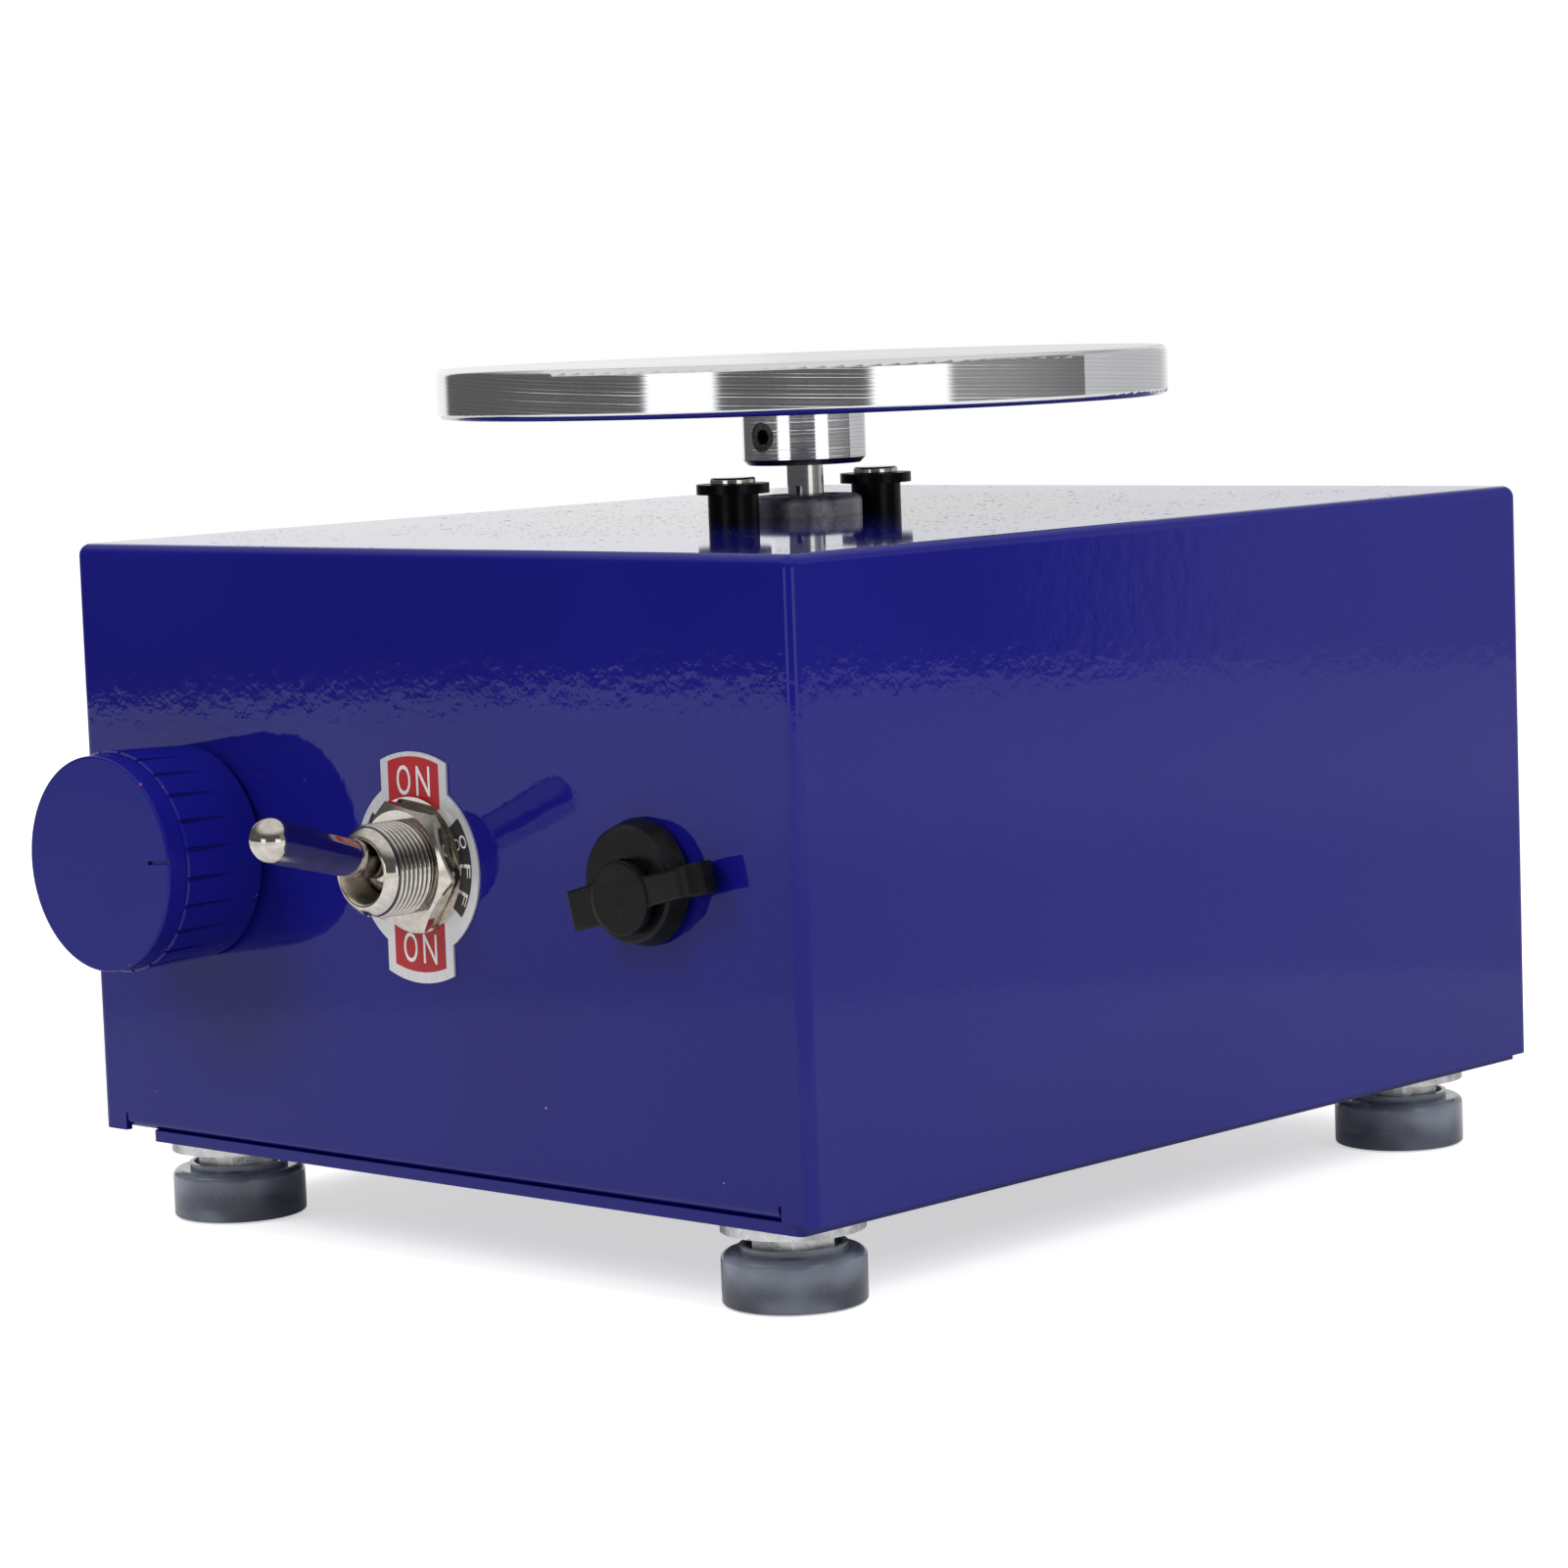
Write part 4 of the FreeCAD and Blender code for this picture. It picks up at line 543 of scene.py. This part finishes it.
# Power inlet: a black socket with a coned flange, and a soft cap that hangs on a strap in front of it.
# The strap turns back to the panel, where its ring is held under the flange.
dress(rubber, "jack_body")
dress(nickel, "jack_pin", "jack_nut")
dress(zinc, "jack_terminals")
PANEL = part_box("casing_shell")[0].y
JACK = middle("jack_body")
HINGE = Vector(next(joint["pos_m"] for joint in frame["joints"] if joint["name"] == "cap_swing"))
CAP_TURN = math.radians(14.0)
ALONG = Vector((math.cos(CAP_TURN), 0.0, math.sin(CAP_TURN)))
ASIDE = Vector((-math.sin(CAP_TURN), 0.0, math.cos(CAP_TURN)))
OUT = Vector((0.0, -1.0, 0.0))
JACK_ON_PANEL = Vector((JACK.x, PANEL, JACK.z))
CAP_ALONG, CAP_ASIDE = 0.00044, -0.00155


def cap_point(along, aside, out):
    return JACK_ON_PANEL + ALONG * along + ASIDE * aside + OUT * out


def soft_form(name, shape, voxel, smooth, body, finish):
    """Joins the solids of a rough shape into one moulding with soft edges."""
    rough = bpy.data.meshes.new(name)
    bmesh.ops.recalc_face_normals(shape, faces=shape.faces)
    shape.to_mesh(rough)
    shape.free()
    piece = bpy.data.objects.new(name, rough)
    scene.collection.objects.link(piece)
    join = piece.modifiers.new("join", "REMESH")
    join.mode = "VOXEL"
    join.voxel_size = voxel
    join.use_smooth_shade = True
    ease = piece.modifiers.new("ease", "SMOOTH")
    ease.iterations = smooth
    bpy.context.view_layer.update()
    made = bpy.data.meshes.new_from_object(piece.evaluated_get(bpy.context.evaluated_depsgraph_get()))
    bpy.data.objects.remove(piece)
    made.name = name
    made.materials.clear()
    for face in made.polygons:
        face.use_smooth = True
    return add_piece(name, made, finish, body)


DISC_SIDES = 64


def add_disc(shape, along, aside, levels):
    """A closed turned form in the cap's frame, from (radius, height) levels."""
    rows = []
    for radius, out in levels:
        row = []
        for step in range(DISC_SIDES):
            angle = 2 * math.pi * step / DISC_SIDES
            row.append(shape.verts.new(cap_point(along + radius * math.cos(angle),
                                                 aside + radius * math.sin(angle), out)))
        rows.append(row)
    for first, second in zip(rows, rows[1:]):
        for step in range(DISC_SIDES):
            after = (step + 1) % DISC_SIDES
            shape.faces.new((first[step], first[after], second[after], second[step]))
    shape.faces.new(rows[0])
    shape.faces.new(list(reversed(rows[-1])))


def add_band(shape, stations):
    """A flat band in the cap's frame, through stations of place, lean, thickness and half width."""
    rows = []
    for along, out, lean, thickness, middle_aside, half in stations:
        across = Vector((math.cos(lean), math.sin(lean))) * thickness / 2
        row = []
        for sign_out, sign_aside in ((-1, -1), (-1, 1), (1, 1), (1, -1)):
            row.append(shape.verts.new(cap_point(along + across.x * sign_out,
                                                 middle_aside + half * sign_aside,
                                                 out + across.y * sign_out)))
        rows.append(row)
    for first, second in zip(rows, rows[1:]):
        for step in range(4):
            after = (step + 1) % 4
            shape.faces.new((first[step], first[after], second[after], second[step]))
    shape.faces.new(rows[0])
    shape.faces.new(list(reversed(rows[-1])))


CAP_LOW, CAP_TOP, CAP_RADIUS = 0.0045, 0.0057, 0.0046
PLUG_RADIUS, PLUG_LOW = 0.0029, 0.004
TAB_THICK = 0.001
TAB_STATIONS = ((0.0089, 0.00505, 0.00245), (0.0055, 0.00505, 0.0026), (0.002, 0.0051, 0.0028))
STRAP_THICK, STRAP_HALF, STRAP_SWELL = 0.0007, 0.0018, 0.0002
STRAP_FROM, STRAP_NECK, STRAP_END, FROM_HALF = 0.0036, 0.0052, 0.0058, 0.0021
BEND_STEPS = 12
FLAT = math.pi / 2
STRAP_RUN = (HINGE - JACK_ON_PANEL).dot(ALONG)
shape = bmesh.new()
add_disc(shape, CAP_ALONG, CAP_ASIDE, [(PLUG_RADIUS, PLUG_LOW), (PLUG_RADIUS, CAP_LOW),
                                       (CAP_RADIUS, CAP_LOW), (CAP_RADIUS, CAP_TOP)])
add_band(shape, [(CAP_ALONG - reach, out, FLAT, TAB_THICK, CAP_ASIDE, half)
                 for reach, out, half in TAB_STATIONS])
cap = soft_form("cap_moulding", shape, voxel=0.00014, smooth=4, body="dust_cap", finish=rubber)
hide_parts("dust_cap")

shape = bmesh.new()
LEG = (CAP_LOW + CAP_TOP) / 2
BEND_MIDDLE = (LEG + STRAP_THICK / 2) / 2
BEND = BEND_MIDDLE - STRAP_THICK / 2
stations = [(CAP_ALONG + STRAP_FROM, LEG, FLAT, STRAP_THICK, CAP_ASIDE, FROM_HALF),
            (CAP_ALONG + STRAP_NECK, LEG, FLAT, STRAP_THICK, CAP_ASIDE, STRAP_HALF)]
for step in range(BEND_STEPS + 1):
    lean = FLAT - math.pi * step / BEND_STEPS
    stations.append((STRAP_RUN + BEND * math.cos(lean), BEND_MIDDLE + BEND * math.sin(lean), lean,
                     STRAP_THICK, CAP_ASIDE, STRAP_HALF + STRAP_SWELL * math.cos(lean)))
stations.append((STRAP_END, STRAP_THICK / 2, -FLAT, STRAP_THICK, CAP_ASIDE, STRAP_HALF))
add_band(shape, stations)
strap = soft_form("strap_moulding", shape, voxel=0.00012, smooth=3, body=None, finish=rubber)
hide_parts("cap_strap")
cap_point(STRAP_RUN, CAP_ASIDE, 0.0012)
cap_point(STRAP_RUN, CAP_ASIDE, 0.0042)
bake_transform(strap)


# Speed board: a green circuit board behind the knob, with its capacitor, transistor and terminal block.
# It hangs on the potentiometer's lugs and can't be seen from outside.
board_green = plain_finish("solder_mask", colour(0.012, 0.11, 0.045), colour(0.02, 0.16, 0.07), 700.0, 0.25)
dress(board_green, "speed_board")
block_green = plain_finish("block_green", colour(0.02, 0.2, 0.08), colour(0.03, 0.28, 0.11), 900.0, 0.4)
dress(block_green, "board_terminal_block")
dress(moulding, "board_capacitor", "power_transistor")
dress(black_oxide, "transistor_heat_sink")


# Floor: a round white table top that fades into the white behind it, and keeps the object's shadow.
# Its rim, out of the picture, is where the enamel's lower reflections begin.
FLOOR_RADIUS, FLOOR_DROP = 0.95, 0.0002
FLOOR_WHITE, FLOOR_PAINTED_SHADOW = colour(0.8, 0.8, 0.8), colour(0.62, 0.62, 0.62)
mesh = bmesh.new()
bmesh.ops.create_circle(mesh, cap_ends=True, segments=128, radius=FLOOR_RADIUS)
table_top = bpy.data.meshes.new("table_top")
mesh.to_mesh(table_top)
mesh.free()
floor = bpy.data.objects.new("table_top", table_top)
floor.location = (0.0, 0.0, -FLOOR_DROP)
scene.collection.objects.link(floor)
floor_white, shader, place = finish_of("floor_white", Roughness=0.8, Specular_IOR_Level=0.1)
from_middle = place.length()
# A grey ring from 0.26 to 0.62 m off the middle is a painted shadow on the table top; the enamel's lower part
# reflects it.
painted_shadow_ring = from_middle.soft_step(0.26, 0.29) * from_middle.soft_step(0.62, 0.42)
feed(shader, Base_Color=painted_shadow_ring.tint(FLOOR_WHITE, FLOOR_PAINTED_SHADOW))
shown = place.node("LightPath", output="Is Glossy Ray")
shown = shown + place.node("LightPath", output="Is Transmission Ray")
glow = (shown > 0.5) * 0.1 + place.node("LightPath", output="Is Camera Ray") * 0.6
shader.inputs["Emission Strength"].default_value = 1.0
feed(shader, Emission_Color=glow.tint(colour(0, 0, 0), colour(1, 1, 1)))
table_top.materials.append(floor_white)


# Studio: a white room with a large soft lamp either side of the camera, and dim sides.
# The camera sees plain white, and the metal shows the lamps as upright bands.
VIEW_TURN, VIEW_DROP, VIEW_ROLL = math.radians(43.038), math.radians(5.951), math.radians(-2.061)
VIEW_PLACE = (0.43969, -0.463846, 0.12268)
world = bpy.data.worlds.new("studio")
scene.world = world
world.use_nodes = True
tree = world.node_tree
background = tree.nodes["Background"]
way = Wire(tree).node("TexCoord", output="Generated")
to_camera = way.along((math.sin(VIEW_TURN), -math.cos(VIEW_TURN), 0.0))
to_right = way.along((math.cos(VIEW_TURN), math.sin(VIEW_TURN), 0.0))
compass = way.sum("ARCTAN2", to_right, to_camera) * (180 / math.pi)
rise = way.axis("Z")
BAND_EDGE = 4.0
ROOM_LEVEL, LAMP_LEVEL, CEILING_LEVEL = 0.12, 1.5, 0.7


def lamp_band(left, right):
    """1 between two compass angles from the camera, in degrees, with soft edges."""
    after_left = compass.soft_step(left - BAND_EDGE / 2, left + BAND_EDGE / 2)
    return after_left * compass.soft_step(right + BAND_EDGE / 2, right - BAND_EDGE / 2)


lamps = (lamp_band(-49.5, -27.0) + lamp_band(21.0, 45.5)) * rise.soft_step(0.26, 0.12)
beside = compass.soft_step(44.0, 47.0) * compass.soft_step(125.0, 50.0) * 0.2
right_wall = compass.soft_step(96.5, 100.0) * 0.46 + compass.soft_step(150.0, 168.0) * 0.3
left_wall = compass.soft_step(-146.0, -153.0) * 0.88
room = ROOM_LEVEL + lamps * LAMP_LEVEL + (beside + right_wall + left_wall) * rise.soft_step(0.6, 0.4)
room = room + rise.soft_step(0.4, 0.8) * CEILING_LEVEL
seen = way.node("LightPath", output="Is Camera Ray") + way.node("LightPath", output="Is Transmission Ray")
light = seen.node("Mix", None, 0, Factor=seen, A=room, B=1.0)
tree.links.new(light.socket, background.inputs["Strength"])
background.inputs["Color"].default_value = colour(1, 1, 1)


LAMP_SIZE, LAMP_AIM = 0.6, Vector((0.0, 0.0, 0.06))


def soft_lamp(name, spot, power):
    lamp = bpy.data.lights.new(name, "AREA")
    lamp.energy = power
    lamp.size = LAMP_SIZE
    holder = bpy.data.objects.new(name, lamp)
    holder.location = spot
    holder.rotation_euler = (LAMP_AIM - Vector(spot)).to_track_quat("-Z", "Y").to_euler()
    holder.visible_glossy = False
    scene.collection.objects.link(holder)


soft_lamp("left_lamp", (-0.42, -1.0, 0.85), 8.0)
soft_lamp("right_lamp", (1.1, -0.14, 0.85), 11.2)

back = Vector((math.sin(VIEW_TURN) * math.cos(VIEW_DROP), -math.cos(VIEW_TURN) * math.cos(VIEW_DROP),
               math.sin(VIEW_DROP)))
level = Vector((math.cos(VIEW_TURN), math.sin(VIEW_TURN), 0.0))
upward = back.cross(level)
right = level * math.cos(VIEW_ROLL) + upward * math.sin(VIEW_ROLL)
up = upward * math.cos(VIEW_ROLL) - level * math.sin(VIEW_ROLL)
SENSOR_WIDTH = 36.0
FOCUS_IN_PIXELS, PICTURE_IN_PIXELS = 4815.0, 1601.0
lens = bpy.data.cameras.new("camera")
lens.sensor_width = SENSOR_WIDTH
lens.lens = SENSOR_WIDTH * FOCUS_IN_PIXELS / PICTURE_IN_PIXELS
lens.clip_start = 0.01
lens.clip_end = 50.0
camera = bpy.data.objects.new("camera", lens)
camera.matrix_world = Matrix.Translation(VIEW_PLACE) @ Matrix((right, up, back)).transposed().to_4x4()
scene.collection.objects.link(camera)
scene.camera = camera
scene.view_settings.view_transform = "Standard"
